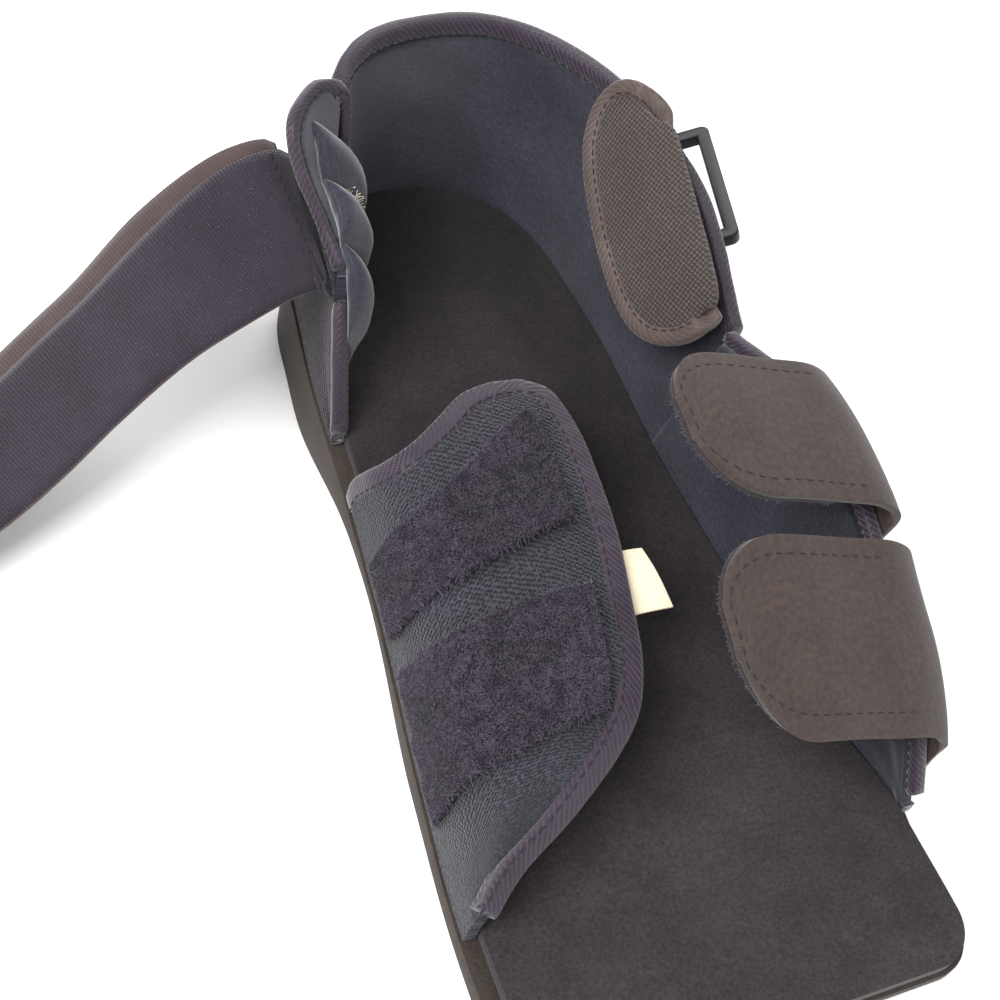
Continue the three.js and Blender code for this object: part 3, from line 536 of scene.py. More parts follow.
@dataclass(frozen=True)
class Finish:
    """One finish: what it is, its colours and its surface.

    The pitch of the pattern and the relief are in millimetres, the turn is in degrees.
    """

    name: str
    weave: Weave
    slot: str
    dark: str
    light: str
    pitch: float
    roughness: float
    sheen: float = 0.0
    relief: float = 0.15
    cloud: float = 0.25
    # Share of pale dots: real yarn flecks on some finishes, painted glints on the loop pile.
    fleck_and_glint: float = 0.0
    fleck_and_glint_colour: str = "#b8b0a8"
    space: Space = Space.CLOTH
    turn: float = 0.0
    # Share of painted shade that darkens the finish towards the heel.
    painted_heel_shade: float = 0.0
    specular: float = 0.22

    def build(self) -> bpy.types.Material:
        """Makes the material.

        Returns:
            The material, its patterns in millimetres.
        """
        material = bpy.data.materials.new(self.name)
        material.use_nodes = True
        tree = material.node_tree
        tree.nodes.clear()
        place = self._place(tree)
        height, mask = self._pattern(tree, place)
        # Handling leaves broad patches about 18 mm across and fine ones about 2.5 mm across.
        broad = self._noise(tree, place, 1 / 18, 3.0)
        fine = self._noise(tree, place, 1 / 2.5, 4.0)
        base = self._mix(tree, mask, linear(self.dark), linear(self.light))
        worn = self._range(tree, broad, (0.3, 0.7), (1 - self.cloud, 1 + self.cloud))
        grain = self._range(tree, fine, (0.25, 0.75), (1 - self.cloud / 2, 1 + self.cloud / 2))
        shade = add_node(tree, "ShaderNodeMath", {0: worn, 1: grain}, operation="MULTIPLY").outputs[0]
        tint = self._scaled(tree, base, shade)
        if self.painted_heel_shade:
            # Painted shade: darker towards the heel, inside the heel wrap, from the waist of the shoe
            # backwards.
            place_in_shoe = add_node(tree, "ShaderNodeSeparateXYZ", {0: place}).outputs["Y"]
            painted_heel_shade_factor = self._range(tree, place_in_shoe, (-165.0, -35.0), (1.0, 1 - self.painted_heel_shade))
            tint = self._scaled(tree, tint, painted_heel_shade_factor)
        # Pale dots: real pale yarn on the webbing, and painted glints of single loops catching the light on
        # the loop pile.
        if self.fleck_and_glint:
            dots = self._noise(tree, place, 1 / 0.45, 1.0)
            show = self._range(tree, dots, (0.66, 0.74), (0.0, self.fleck_and_glint))
            tint = self._mix(tree, show, tint, linear(self.fleck_and_glint_colour))
        bump = add_node(tree, "ShaderNodeBump", {
            "Height": height, "Distance": self.relief * MM, "Strength": 1.0,
        })
        shader = add_node(tree, "ShaderNodeBsdfPrincipled", {
            "Base Color": tint, "Roughness": self.roughness, "Normal": bump.outputs["Normal"],
            "Sheen Weight": self.sheen, "Sheen Roughness": 0.45, "Specular IOR Level": self.specular,
        })
        add_node(tree, "ShaderNodeOutputMaterial", {"Surface": shader.outputs[0]})
        return material

    def _place(self, tree: Tree) -> Socket:
        """Coordinates in millimetres, turned by the finish's own angle."""
        source = add_node(tree, "ShaderNodeTexCoord").outputs[self.space.value]
        scale = 1000.0 if self.space is Space.SOLID else 1.0
        return add_node(tree, "ShaderNodeMapping", {
            "Vector": source, "Scale": (scale,) * 3, "Rotation": (0, 0, math.radians(self.turn)),
        }).outputs[0]

    @staticmethod
    def _noise(tree: Tree, place: object, scale: float, detail: float) -> Socket:
        """Cloudy noise with one swell each 1 / scale millimetres."""
        return add_node(tree, "ShaderNodeTexNoise", {
            "Vector": place, "Scale": scale, "Detail": detail,
        }).outputs["Fac"]

    @staticmethod
    def _scaled(tree: Tree, colour: object, factor: object) -> Socket:
        """A colour made lighter or darker by a factor."""
        return add_node(tree, "ShaderNodeVectorMath", {
            0: colour, "Scale": factor,
        }, operation="SCALE").outputs[0]

    def _mix(self, tree: Tree, share: object, low: object, high: object) -> Socket:
        """Mixes two colours."""
        return add_node(tree, "ShaderNodeMix", {0: share, 6: low, 7: high}, data_type="RGBA").outputs[2]

    def _range(self, tree: Tree, value: object, source: Row, target: Row) -> Socket:
        """Maps a value from one range to another and keeps it there."""
        return add_node(tree, "ShaderNodeMapRange", {
            "Value": value, "From Min": source[0], "From Max": source[1],
            "To Min": target[0], "To Max": target[1],
        }).outputs[0]

    def _wave(
        self, tree: Tree, place: object, pitch: float, axis: str, distort: float = 0.0
    ) -> Socket:
        """Even ridges with one period each pitch, in millimetres."""
        period = math.pi / 10
        return add_node(tree, "ShaderNodeTexWave", {
            "Vector": place, "Scale": period / pitch, "Distortion": distort,
            "Detail": 1.0, "Detail Scale": 1.5,
        }, bands_direction=axis).outputs["Fac"]

    def _pattern(
        self, tree: Tree, place: Socket
    ) -> tuple[Socket, Socket]:
        """Height and colour share of the surface's own structure.

        Args:
            tree: the material's tree.
            place: coordinates in millimetres.

        Returns:
            Sockets for the height and for the share of the light colour.
        """
        if self.weave in (Weave.TWILL, Weave.WEBBING):
            return self._woven(tree, place)
        if self.weave in (Weave.SPACER, Weave.NET):
            return self._knitted(tree, place)
        if self.weave is Weave.FOAM:
            cells = add_node(tree, "ShaderNodeTexVoronoi", {"Vector": place, "Scale": 1 / self.pitch})
            skin = self._noise(tree, place, 3 / self.pitch, 5.0)
            height = add_node(tree, "ShaderNodeMath", {
                0: cells.outputs["Distance"], 1: skin,
            }, operation="ADD").outputs[0]
            return height, self._range(tree, skin, (0.35, 0.65), (0, 1))
        detail = 2.0 if self.weave is Weave.MOULDED else 8.0
        nap = add_node(tree, "ShaderNodeTexNoise", {
            "Vector": place, "Scale": 1 / self.pitch, "Detail": detail, "Roughness": 0.65,
        }).outputs["Fac"]
        return nap, self._range(tree, nap, (0.35, 0.65), (0, 1))

    def _woven(
        self, tree: Tree, place: Socket
    ) -> tuple[Socket, Socket]:
        """Ribs with finer threads across them."""
        ribs = self._wave(tree, place, self.pitch, "DIAGONAL" if self.weave is Weave.TWILL else "X", 1.6)
        threads = self._wave(tree, place, self.pitch * 0.62, "Y", 1.4)
        both = add_node(tree, "ShaderNodeMath", {0: ribs, 1: threads}, operation="MULTIPLY").outputs[0]
        return both, self._range(tree, both, (0.1, 0.8), (0, 1))

    def _knitted(
        self, tree: Tree, place: Socket
    ) -> tuple[Socket, Socket]:
        """Rows of round eyes in a staggered net."""
        netted = add_node(tree, "ShaderNodeMapping", {
            "Vector": place, "Rotation": (0, 0, math.radians(45)),
        }).outputs[0]
        loose = 0.12 if self.weave is Weave.NET else 0.4
        eyes = add_node(tree, "ShaderNodeTexVoronoi", {
            "Vector": netted, "Scale": 1 / self.pitch, "Randomness": loose,
        }).outputs["Distance"]
        thread = self._range(tree, eyes, (0.22, 0.52), (0, 1))
        return thread, self._range(tree, eyes, (0.3, 0.62), (0, 1))


def lay(
    piece: Piece,
    finish: Finish,
    nodes: Iterable[str] = (),
    body: str = BODY,
) -> Piece:
    """Gives a piece its finish and the body that carries it, and hides the solids that it stands for.

    Args:
        piece: the finished object.
        finish: its finish.
        nodes: solids of the frame that it replaces.
        body: the body that it rides on.

    Returns:
        The same piece.
    """
    if not piece.data.materials:
        piece.data.materials.append(material_of(finish))
    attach(piece, body)
    names = list(nodes)
    if names:
        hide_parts(*names)
    LOG.info("%s: %d faces, %s", piece.name, len(piece.data.polygons), finish.name)
    return piece


MATERIALS: dict[str, bpy.types.Material] = {}


def material_of(finish: Finish) -> bpy.types.Material:
    """The finish's material, made once."""
    if finish.name not in MATERIALS:
        MATERIALS[finish.name] = finish.build()
    return MATERIALS[finish.name]


def object_from(
    name: str,
    points: Sequence[Vector],
    faces: Sequence[Sequence[int]],
    uvs: Sequence[tuple[float, float]] | None = None,
    outward: bool = True,
) -> Piece:
    """Makes an object from points in millimetres.

    Args:
        name: the object's name.
        points: places in millimetres from the middle of the insole.
        faces: corner numbers of each face.
        uvs: one pair in millimetres for each point.
        outward: turns a closed shape's faces outwards.

    Returns:
        The object, linked to the scene.
    """
    data = bpy.data.meshes.new(name)
    data.from_pydata([to_frame(p) for p in points], [], faces)
    if uvs:
        layer = data.uv_layers.new(name="cloth")
        for loop in data.loops:
            layer.data[loop.index].uv = uvs[loop.vertex_index]
    if outward:
        bm = bmesh.new()
        bm.from_mesh(data)
        bmesh.ops.recalc_face_normals(bm, faces=bm.faces)
        bm.to_mesh(data)
        bm.free()
    shade_smooth(data)
    return link(name, data)


def cloth_sheet(name: str, rows: int, columns: int, surface: Surface, thickness: float) -> Piece:
    """Makes a sheet of cloth with rounded edges round its middle surface.

    Args:
        name: the object's name.
        rows: faces along the first share.
        columns: faces along the second share.
        surface: the middle of the cloth, in millimetres.
        thickness: of the cloth, in millimetres.

    Returns:
        The object.
    """
    grid = [[surface(i / rows, j / columns) for j in range(columns + 1)] for i in range(rows + 1)]
    along = [[0.0] * (columns + 1) for _ in grid]
    across = [[0.0] * (columns + 1) for _ in grid]
    for i, row in enumerate(grid):
        for j, point in enumerate(row):
            if i:
                along[i][j] = along[i - 1][j] + (point - grid[i - 1][j]).length
            if j:
                across[i][j] = across[i][j - 1] + (point - row[j - 1]).length
    points = [p for row in grid for p in row]
    uvs = [(a, b) for ra, rb in zip(along, across) for a, b in zip(ra, rb)]
    piece = object_from(name, points, grid_faces(rows, columns), uvs, outward=False)
    wall = piece.modifiers.new("thickness", "SOLIDIFY")
    wall.thickness = thickness * MM
    wall.offset = 0
    wall.use_even_offset = True
    round_edges(piece, thickness * 0.3, 2)
    return piece


def declare_sheet(piece: Piece) -> None:
    """Measures a cloth piece's cut length, width and area, and keeps none of them.

    Args:
        piece: the sheet.
    """
    layer = piece.data.uv_layers[0].data
    length = max(item.uv[0] for item in layer) * MM
    width = max(item.uv[1] for item in layer) * MM
    area = sum(face.area for face in piece.data.polygons)
    area = min(area, width * length)


def swept(
    name: str,
    sections: Sequence[Sequence[Vector]],
    closed: bool,
) -> Piece:
    """Makes a solid through rings of points.

    Args:
        name: the object's name.
        sections: rings with equal numbers of points.
        closed: joins the last ring to the first.

    Returns:
        The object, with lengths in millimetres as its coordinates.
    """
    count = len(sections[0])
    points = [p for ring in sections for p in ring]
    run = 0.0
    uvs: list[tuple[float, float]] = []
    for i, ring in enumerate(sections):
        if i:
            run += (ring[0] - sections[i - 1][0]).length
        round_ring = 0.0
        for j, point in enumerate(ring):
            if j:
                round_ring += (point - ring[j - 1]).length
            uvs.append((run, round_ring))
    last = len(sections) if closed else len(sections) - 1
    faces: list[tuple[int, ...]] = []
    for i in range(last):
        here, there = i * count, ((i + 1) % len(sections)) * count
        for j in range(count):
            k = (j + 1) % count
            faces.append((here + j, here + k, there + k, there + j))
    if not closed:
        faces.append(tuple(range(count - 1, -1, -1)))
        faces.append(tuple(range(len(points) - count, len(points))))
    return object_from(name, points, faces, uvs)


def tape_ring(
    centre: Vector, across: Vector, normal: Vector, width: float, thickness: float, sides: int = 14
) -> list[Vector]:
    """Rounded flat section of a folded tape.

    Args:
        centre: its middle.
        across: direction of its width.
        normal: direction of its thickness.
        width: in millimetres.
        thickness: in millimetres.
        sides: points round it.

    Returns:
        The ring of points.
    """
    squareness = 2 / 3.2
    ring = []
    for k in range(sides):
        angle = 2 * math.pi * k / sides
        c, s = math.cos(angle), math.sin(angle)
        a = math.copysign(abs(c) ** squareness, c) * width / 2
        n = math.copysign(abs(s) ** squareness, s) * thickness / 2
        ring.append(centre + across * a + normal * n)
    return ring


def pucker(point: Vector, amount: float, seed: float) -> float:
    """Uneven swelling of a sewn tape at a place."""
    return 1 + amount * noise.noise(point * 0.22 + Vector((seed, 0, 0)))


@dataclass(frozen=True)
class Stitch:
    """Pitch, length and thread radius of a sewn row, in millimetres."""

    pitch: float
    length: float
    radius: float = 0.32


@dataclass(frozen=True)
class Nap:
    """Fibres for each square millimetre, their height and radius in millimetres, and lean in radians."""

    density: float
    height: float
    radius: float
    lean: float


EDGE_STITCH = Stitch(2.6, 2.0, 0.28)
OVAL_STITCH = Stitch(2.6, 2.0, 0.25)
KEEPER_STITCH = Stitch(2.6, 2.0)
FLAP_STITCH = Stitch(3.1, 2.4, 0.33)
STRAP_STITCH = Stitch(3.4, 2.7, 0.34)
WEBBING_STITCH = Stitch(2.8, 2.1, 0.3)
# The pile and the fuzz are thicker and sparser than real fibres, to keep their triangles few.
FRAYED = Nap(9.0, 2.4, 0.09, 1.2)
LOOPS = Nap(8.5, 2.2, 0.13, 1.1)
HOOK_ENDS = Nap(4.0, 0.9, 0.06, 1.2)


@dataclass
class Needlework:
    """Geometry Nodes trees for sewn thread and for pile, and the pieces made with them."""

    thread_tree: Tree = field(init=False)
    pile_tree: Tree = field(init=False)

    def __post_init__(self) -> None:
        """Builds both trees."""
        self.thread_tree = self._make_thread_tree()
        self.pile_tree = self._make_pile_tree()

    def bind(
        self, names: tuple[str, str], rings: Sequence[Sequence[Vector]], seam: Sequence[Vector],
        node: str, finish: Finish, stitch: Stitch, closed: bool = False,
    ) -> None:
        """Lays a tape through its rings and sews it along its seam.

        Args:
            names: of the tape and of its stitches.
            rings: sections of the tape.
            seam: the line of stitches, in millimetres.
            node: the solid that the tape replaces.
            finish: the tape's finish.
            stitch: sizes of the row.
            closed: joins the tape's end to its start.
        """
        lay(swept(names[0], rings, closed), finish, [node])
        self.sew(names[1], seam, stitch)

    @staticmethod
    def _sockets(tree: Tree, inputs: Sequence[tuple[str, str]]) -> tuple:
        """Adds named sockets and the two end nodes to a tree."""
        for name, kind in inputs:
            tree.interface.new_socket(name, in_out="INPUT", socket_type=kind)
        tree.interface.new_socket("Geometry", in_out="OUTPUT", socket_type="NodeSocketGeometry")
        return add_node(tree, "NodeGroupInput").outputs, add_node(tree, "NodeGroupOutput")

    @staticmethod
    def _ended(
        tree: Tree, end: bpy.types.Node, material: object, copies: dict[str | int, object]
    ) -> Tree:
        """Sets copies out, makes them real, gives them their material and ends the tree."""
        set_out = add_node(tree, "GeometryNodeInstanceOnPoints", copies)
        real = add_node(tree, "GeometryNodeRealizeInstances", {0: set_out.outputs[0]})
        done = add_node(tree, "GeometryNodeSetMaterial", {0: real.outputs[0], "Material": material})
        tree.links.new(done.outputs[0], end.inputs[0])
        return tree

    def _make_thread_tree(self) -> Tree:
        """Stitches at an even pitch along a line."""
        tree = bpy.data.node_groups.new("sewn_thread", "GeometryNodeTree")
        given, end = self._sockets(tree, [
            ("Line", "NodeSocketGeometry"), ("Pitch", "NodeSocketFloat"), ("Length", "NodeSocketFloat"),
            ("Radius", "NodeSocketFloat"), ("Thread", "NodeSocketMaterial"),
        ])
        line = add_node(tree, "GeometryNodeResampleCurve", {
            "Curve": given["Line"], "Length": given["Pitch"],
        }, mode="LENGTH")
        bead = add_node(tree, "GeometryNodeMeshUVSphere", {"Segments": 6, "Rings": 4, "Radius": 1.0})
        along = add_node(tree, "GeometryNodeInputTangent")
        turn = add_node(tree, "FunctionNodeAlignRotationToVector", {
            "Vector": along.outputs[0],
        }, axis="Z")
        half = add_node(tree, "ShaderNodeMath", {0: given["Length"], 1: 0.5}, operation="MULTIPLY")
        size = add_node(tree, "ShaderNodeCombineXYZ", {
            "X": given["Radius"], "Y": given["Radius"], "Z": half.outputs[0],
        })
        return self._ended(tree, end, given["Thread"], {
            "Points": line.outputs[0], "Instance": bead.outputs[0],
            "Rotation": turn.outputs[0], "Scale": size.outputs[0],
        })

    def _make_pile_tree(self) -> Tree:
        """Short tilted fibres scattered over a surface."""
        tree = bpy.data.node_groups.new("standing_pile", "GeometryNodeTree")
        given, end = self._sockets(tree, [
            ("Ground", "NodeSocketGeometry"), ("Density", "NodeSocketFloat"),
            ("Height", "NodeSocketFloat"), ("Radius", "NodeSocketFloat"), ("Tilt", "NodeSocketFloat"), ("Seed", "NodeSocketInt"),
            ("Fibre", "NodeSocketMaterial"),
        ])
        spread = add_node(tree, "GeometryNodeDistributePointsOnFaces", {
            "Mesh": given["Ground"], "Density": given["Density"], "Seed": given["Seed"],
        })
        fibre = add_node(tree, "GeometryNodeMeshCone", {
            "Vertices": 3, "Side Segments": 1, "Depth": given["Height"],
            "Radius Top": given["Radius"], "Radius Bottom": given["Radius"],
        }, fill_type="NONE")
        low = add_node(tree, "ShaderNodeMath", {0: given["Tilt"], 1: -1.0}, operation="MULTIPLY")
        # Nearly half a turn either way about the fibre's own axis.
        spin = 3.1
        low_turn = add_node(tree, "ShaderNodeCombineXYZ", {
            "X": low.outputs[0], "Y": low.outputs[0], "Z": -spin,
        })
        high_turn = add_node(tree, "ShaderNodeCombineXYZ", {
            "X": given["Tilt"], "Y": given["Tilt"], "Z": spin,
        })
        lean = add_node(tree, "FunctionNodeRandomValue", {
            0: low_turn.outputs[0], 1: high_turn.outputs[0], "Seed": given["Seed"],
        }, data_type="FLOAT_VECTOR")
        turned = add_node(tree, "FunctionNodeEulerToRotation", {0: lean.outputs[0]})
        facing = add_node(tree, "FunctionNodeRotateRotation", {
            0: spread.outputs["Rotation"], 1: turned.outputs[0],
        }, rotation_space="LOCAL")
        size = add_node(tree, "FunctionNodeRandomValue", {2: 0.55, 3: 1.2, "Seed": given["Seed"]},
                        data_type="FLOAT")
        return self._ended(tree, end, given["Fibre"], {
            "Points": spread.outputs["Points"], "Instance": fibre.outputs["Mesh"],
            "Rotation": facing.outputs[0], "Scale": size.outputs[1],
        })

    @staticmethod
    def _run(carrier: Piece, tree: Tree, values: dict[str, object], name: str,
             finish: Finish) -> Piece:
        """Runs a tree on an object and keeps its result as a plain mesh.

        Args:
            carrier: the object that it runs on, removed afterwards.
            tree: the tree.
            values: what each named input is set to.
            name: the new piece's name.
            finish: its finish.

        Returns:
            The new piece.
        """
        modifier = carrier.modifiers.new("work", "NODES")
        modifier.node_group = tree
        for item in tree.interface.items_tree:
            if item.item_type == "SOCKET" and item.name in values:
                modifier[item.identifier] = values[item.name]
        depsgraph = bpy.context.evaluated_depsgraph_get()
        data = bpy.data.meshes.new_from_object(carrier.evaluated_get(depsgraph), depsgraph=depsgraph)
        carrier.modifiers.remove(modifier)
        bpy.data.objects.remove(carrier)
        data.name = name
        shade_smooth(data)
        return lay(link(name, data), finish)

    def sew(self, name: str, points: Sequence[Vector], stitch: Stitch) -> Piece:
        """Sews stitches along a line.

        Args:
            name: the piece's name.
            points: the line, in millimetres, on the cloth's surface.
            stitch: sizes of the row.

        Returns:
            The stitches as one piece.
        """
        curve = bpy.data.curves.new(name + "_line", "CURVE")
        curve.dimensions = "3D"
        run = curve.splines.new("POLY")
        run.points.add(len(points) - 1)
        for item, point in zip(run.points, points):
            item.co = (*to_frame(point), 1.0)
        carrier = link(name + "_line", curve)
        return self._run(carrier, self.thread_tree, {
            "Pitch": stitch.pitch * MM, "Length": stitch.length * MM, "Radius": stitch.radius * MM,
            "Thread": material_of(THREAD),
        }, name, THREAD)

    def pile(
        self, name: str, rows: int, columns: int, surface: Surface, finish: Finish, nap: Nap, seed: int
    ) -> Piece:
        """Grows pile on a surface.

        Args:
            name: the piece's name.
            rows: faces of the ground along the first share.
            columns: faces of the ground along the second share.
            surface: the ground, in millimetres.
            finish: the fibre's finish.
            nap: sizes of its fibres.
            seed: of the scatter.

        Returns:
            The pile as one piece.
        """
        points = [surface(i / rows, j / columns) for i in range(rows + 1) for j in range(columns + 1)]
        ground = object_from(name + "_ground", points, grid_faces(rows, columns), outward=False)
        return self._run(ground, self.pile_tree, {
            "Density": nap.density / MM ** 2, "Height": nap.height * MM, "Radius": nap.radius * MM,
            "Tilt": nap.lean, "Seed": seed, "Fibre": material_of(finish),
        }, name, finish)


# Foam rubber: a dull moulded skin with fine pits, scuffed paler in places.
SOLE_FOAM = Finish(
    "sole_foam_rubber", Weave.FOAM, "outsole", "#28231f", "#3a322d", 1.1, 0.82, 0.05, 0.12, 0.2,
    space=Space.SOLID,
)
# Brushed cloth on foam: soft, nearly without gloss, with painted shade that darkens it towards the heel,
# inside the heel wrap.
FOOTBED_CLOTH = Finish(
    "footbed_brushed_cloth", Weave.BRUSHED, "footbed", "#221e20", "#332e30", 0.9, 0.95, 0.12, 0.1,
    0.22, space=Space.SOLID, painted_heel_shade=0.4,
)
# Brushed tricot: a short blue-black nap that lights up along its folds.
LINING = Finish(
    "brushed_tricot_lining", Weave.BRUSHED, "lining", "#191922", "#2c2c37", 1.2, 0.85, 0.5, 0.12,
    0.3,
)
# Outer cloth of the quarters: a plain knitted face, browner and duller than the lining.
OUTER_CLOTH = Finish(
    "knitted_outer_cloth", Weave.SPACER, "lining", "#131015", "#2c262c", 1.1, 0.85, 0.1, 0.3, 0.2,
)
# Polyester twill tape: fine slanting ribs and a soft satin shine. The ribs are drawn at 0.9 mm,
# twice their real pitch, so that they show.
TAPE = Finish(
    "twill_binding_tape", Weave.TWILL, "binding", "#261d27", "#3b313f", 0.9, 0.45, 0.25, 0.1, 0.2,
)
TAB_TAPE = Finish(
    "satin_tab_tape", Weave.TWILL, "tab_binding", "#433835", "#554843", 0.9, 0.5, 0.2, 0.08, 0.16,
)
# Warp-knit net: rows of dark eyes between paler threads.
TAB_NET = Finish(
    "warp_knit_net", Weave.NET, "mesh", "#2c2725", "#514743", 1.1, 0.75, 0.1, 0.3, 0.12, turn=12,
)
# Spacer mesh: a coarse open face with grey lights on its threads.
FLAP_NET = Finish(
    "spacer_mesh", Weave.SPACER, "flap_mesh", "#0f0e12", "#31313a", 1.05, 0.7, 0.1, 0.4, 0.25,
)
# Loop pile: deep, matt and almost black, with pale flecks painted on as glints of single loops catching the
# light.
PLUSH = Finish(
    "loop_pile", Weave.PILE, "loop", "#0d0812", "#362740", 1.7, 0.85, 0.25, 0.2, 0.5, fleck_and_glint=0.35,
    fleck_and_glint_colour="#7a7082", space=Space.SOLID,
)
PLUSH_GROUND = Finish(
    "loop_pile_ground", Weave.PILE, "loop", "#0b0610", "#150e1d", 1.4, 0.95, 0.1, 0.5, 0.3,
)
# Microfibre brushed like nubuck: dead matt, with pale bloom where it bends.
NUBUCK = Finish(
    "nubuck_microfibre", Weave.NUBUCK, "microfibre", "#302826", "#3e3430", 1.6, 0.92, 0.15, 0.1,
    0.14,
)
# Hook tape: a plastic nap that shows as grey fuzz at the rim.
HOOK = Finish(
    "hook_tape", Weave.PILE, "hook", "#1c181b", "#332e31", 0.6, 0.6, 0.1, 0.25, 0.2,
)
HOOK_FUZZ = Finish(
    "hook_fuzz", Weave.PILE, "hook", "#3f393b", "#6a6263", 0.5, 0.7, 0.1, 0.1, 0.2,
    space=Space.SOLID,
)
# Elastic webbing: fine cross ribs flecked with pale yarn; the inner face is a paler pink-grey, partly its own
# colour and partly painted sheen of grazing light on its smooth face.
WEBBING = Finish(
    "elastic_webbing", Weave.WEBBING, "webbing", "#1e1820", "#2d2633", 0.95, 0.85, 0.15, 0.12, 0.2,
    fleck_and_glint=0.4, fleck_and_glint_colour="#6f6570",
)
WEBBING_BACK_PAINTED_SHEEN = Finish(
    "elastic_webbing_back_painted_sheen", Weave.WEBBING, "webbing", "#3c3030", "#493e3e", 0.95, 0.85, 0.15, 0.1,
    0.14,
)
# Sewing thread, dark moulded plastic, the cream tape of the bare label and pale frayed yarn.
THREAD = Finish(
    "sewing_thread", Weave.NUBUCK, "binding", "#121014", "#221e23", 0.5, 0.6, 0.1, 0.05, 0.1,
    space=Space.SOLID,
)
MOULDED = Finish(
    "moulded_plastic", Weave.MOULDED, "ring", "#090608", "#0f0a0e", 1.5, 0.32, 0.0, 0.03, 0.1,
    space=Space.SOLID,
)
CREAM = Finish(
    "cream_label_tape", Weave.TWILL, "label", "#e9dabb", "#fff3d8", 0.7, 0.8, 0.2, 0.05, 0.04,
)
FRAY = Finish(
    "frayed_yarn", Weave.NUBUCK, "lining", "#b9ae9a", "#d9cfbc", 0.5, 0.9, 0.2, 0.02, 0.1,
    space=Space.SOLID,
)


@dataclass
class Sole:
    """Outsole and footbed."""

    form: ShoeForm
    rows: int = 120
    columns: int = 28

    def _slab(self, name: str, side: Callable[[float], tuple[float, float]], toe: float, heel: float,
              top: Callable[[float, float], float], bottom: Callable[[float, float], float],
              edge: float) -> Piece:
        """Solid between two heights inside an outline.

        Args:
            name: the object's name.
            side: left and right half widths at y.
            toe: growth beyond the insole's toe.
            heel: growth beyond the insole's heel.
            top: height of the top at x and y.
            bottom: height of the bottom at x and y.
            edge: radius of its edges.

        Returns:
            The object.
        """
        half = self.form.insole_length / 2
        points: list[Vector] = []
        for height in (top, bottom):
            for i in range(self.rows + 1):
                y = lerp(-half - toe, half + heel, 0.5 - 0.5 * math.cos(math.pi * i / self.rows))
                left, right = side(y)
                for j in range(self.columns + 1):
                    x = lerp(-left, right, j / self.columns)
                    points.append(Vector((x, y, height(x, y))))
        step, back = self.columns + 1, (self.rows + 1) * (self.columns + 1)
        faces: list[tuple[int, ...]] = []
        for i in range(self.rows):
            for j in range(self.columns):
                a = i * step + j
                faces.append((a, a + 1, a + step + 1, a + step))
                faces.append((back + a, back + a + step, back + a + step + 1, back + a + 1))
        rim = list(range(self.columns)) + [i * step + self.columns for i in range(self.rows)]
        rim += [self.rows * step + j for j in range(self.columns, 0, -1)]
        rim += [i * step for i in range(self.rows, 0, -1)]
        for i, p in enumerate(rim):
            q = rim[(i + 1) % len(rim)]
            faces.append((q, p, back + p, back + q))
        piece = object_from(name, points, faces)
        round_edges(piece, edge, 3)
        return piece

    def build(self) -> None:
        """Makes the sole's two pieces."""
        form = self.form

        def outer(y: float) -> tuple[float, float]:
            share = form.along(y)
            ledge = form.sole_ledge * spline(form.outline, share, 3)
            left = spline(form.outline, share, 2) * form.forefoot_half + form.sole_ledge
            right = spline(form.outline, share, 1) * form.forefoot_half + ledge
            factor, cut = form.end_factor(y, form.sole_ledge), form.toe_cut(y, form.toe_lip)
            return left * factor - cut, right * factor - cut

        def inner(y: float) -> tuple[float, float]:
            return form.left_edge(y), form.right_edge(y)

        def crown(x: float, y: float) -> float:
            swell = noise.noise(Vector((x * 0.02, y * 0.02, 3.0)))
            return form.bed(y) + 0.45 * swell

        outsole = self._slab("sole", outer, form.toe_lip, form.sole_ledge, lambda x, y: form.seam(y),
                             lambda x, y: form.underside(y), 1.0)
        lay(outsole, SOLE_FOAM, ["outsole"])
        bed = self._slab("insole", inner, 0, 0, crown, lambda x, y: form.seam(y) + form.clearance, 1.1)
        lay(bed, FOOTBED_CLOTH, ["footbed"])


@dataclass
class HeelWrap:
    """Closed heel and quarters, with their bound edges."""

    form: ShoeForm
    work: Needlework
    tape_thickness: float = 4.6

    def build(self) -> None:
        """Makes the wall, the two bindings and their stitches."""
        form = self.form
        columns = form.wrap_columns

        def height(u: float) -> float:
            inside = (form.tab_start - 0.5) / columns <= u <= (form.tab_end + 0.5) / columns
            return form.wrap_top(u) - (0 if inside else form.collar_band + form.clearance)

        def middle(u: float, v: float) -> Vector:
            point = form.wrap_point(u, lerp(form.wrap_base(u), height(u), v))
            sag = noise.noise(Vector((u * 6, v * 1.8, 1.7))) * 1.2 * math.sin(math.pi * v)
            return point + form.wrap_outward(u) * sag

        wall = cloth_sheet("quarter_wall", columns * 3, 26, middle, form.wall)
        for finish in (OUTER_CLOTH, LINING):
            wall.data.materials.append(material_of(finish))
        wall.modifiers["thickness"].material_offset = 1
        wall.modifiers["thickness"].material_offset_rim = 1
        declare_sheet(lay(wall, LINING, ["heel_wrap"]))
        self._band("notch_edge_tape", 0, form.tab_start - 1, "notch_binding")
        self._band("collar_tape", form.tab_end + 1, columns, "collar_binding")

    def _band(self, name: str, first: int, last: int, node: str) -> None:
        """Tape along the wrap's top edge between two of its columns."""
        form = self.form
        steps = (last - first) * 4
        rings, seam = [], []
        for i in range(steps + 1):
            at = lerp(first, last, i / steps) / form.wrap_columns
            out = form.wrap_outward(at)
            centre = form.wrap_point(at, form.wrap_top(at)) - Vector((0, 0, form.collar_band / 2))
            swell = pucker(centre, 0.12, 4.0)
            thick = self.tape_thickness * swell
            rings.append(tape_ring(centre, Vector((0, 0, 1)), out, form.collar_band, thick))
            seam.append(centre - Vector((0, 0, 1.9)) - out * (self.tape_thickness / 2 * swell - 0.1))
        self.work.bind((name, name + "_stitches"), rings, seam, node, TAPE, EDGE_STITCH)


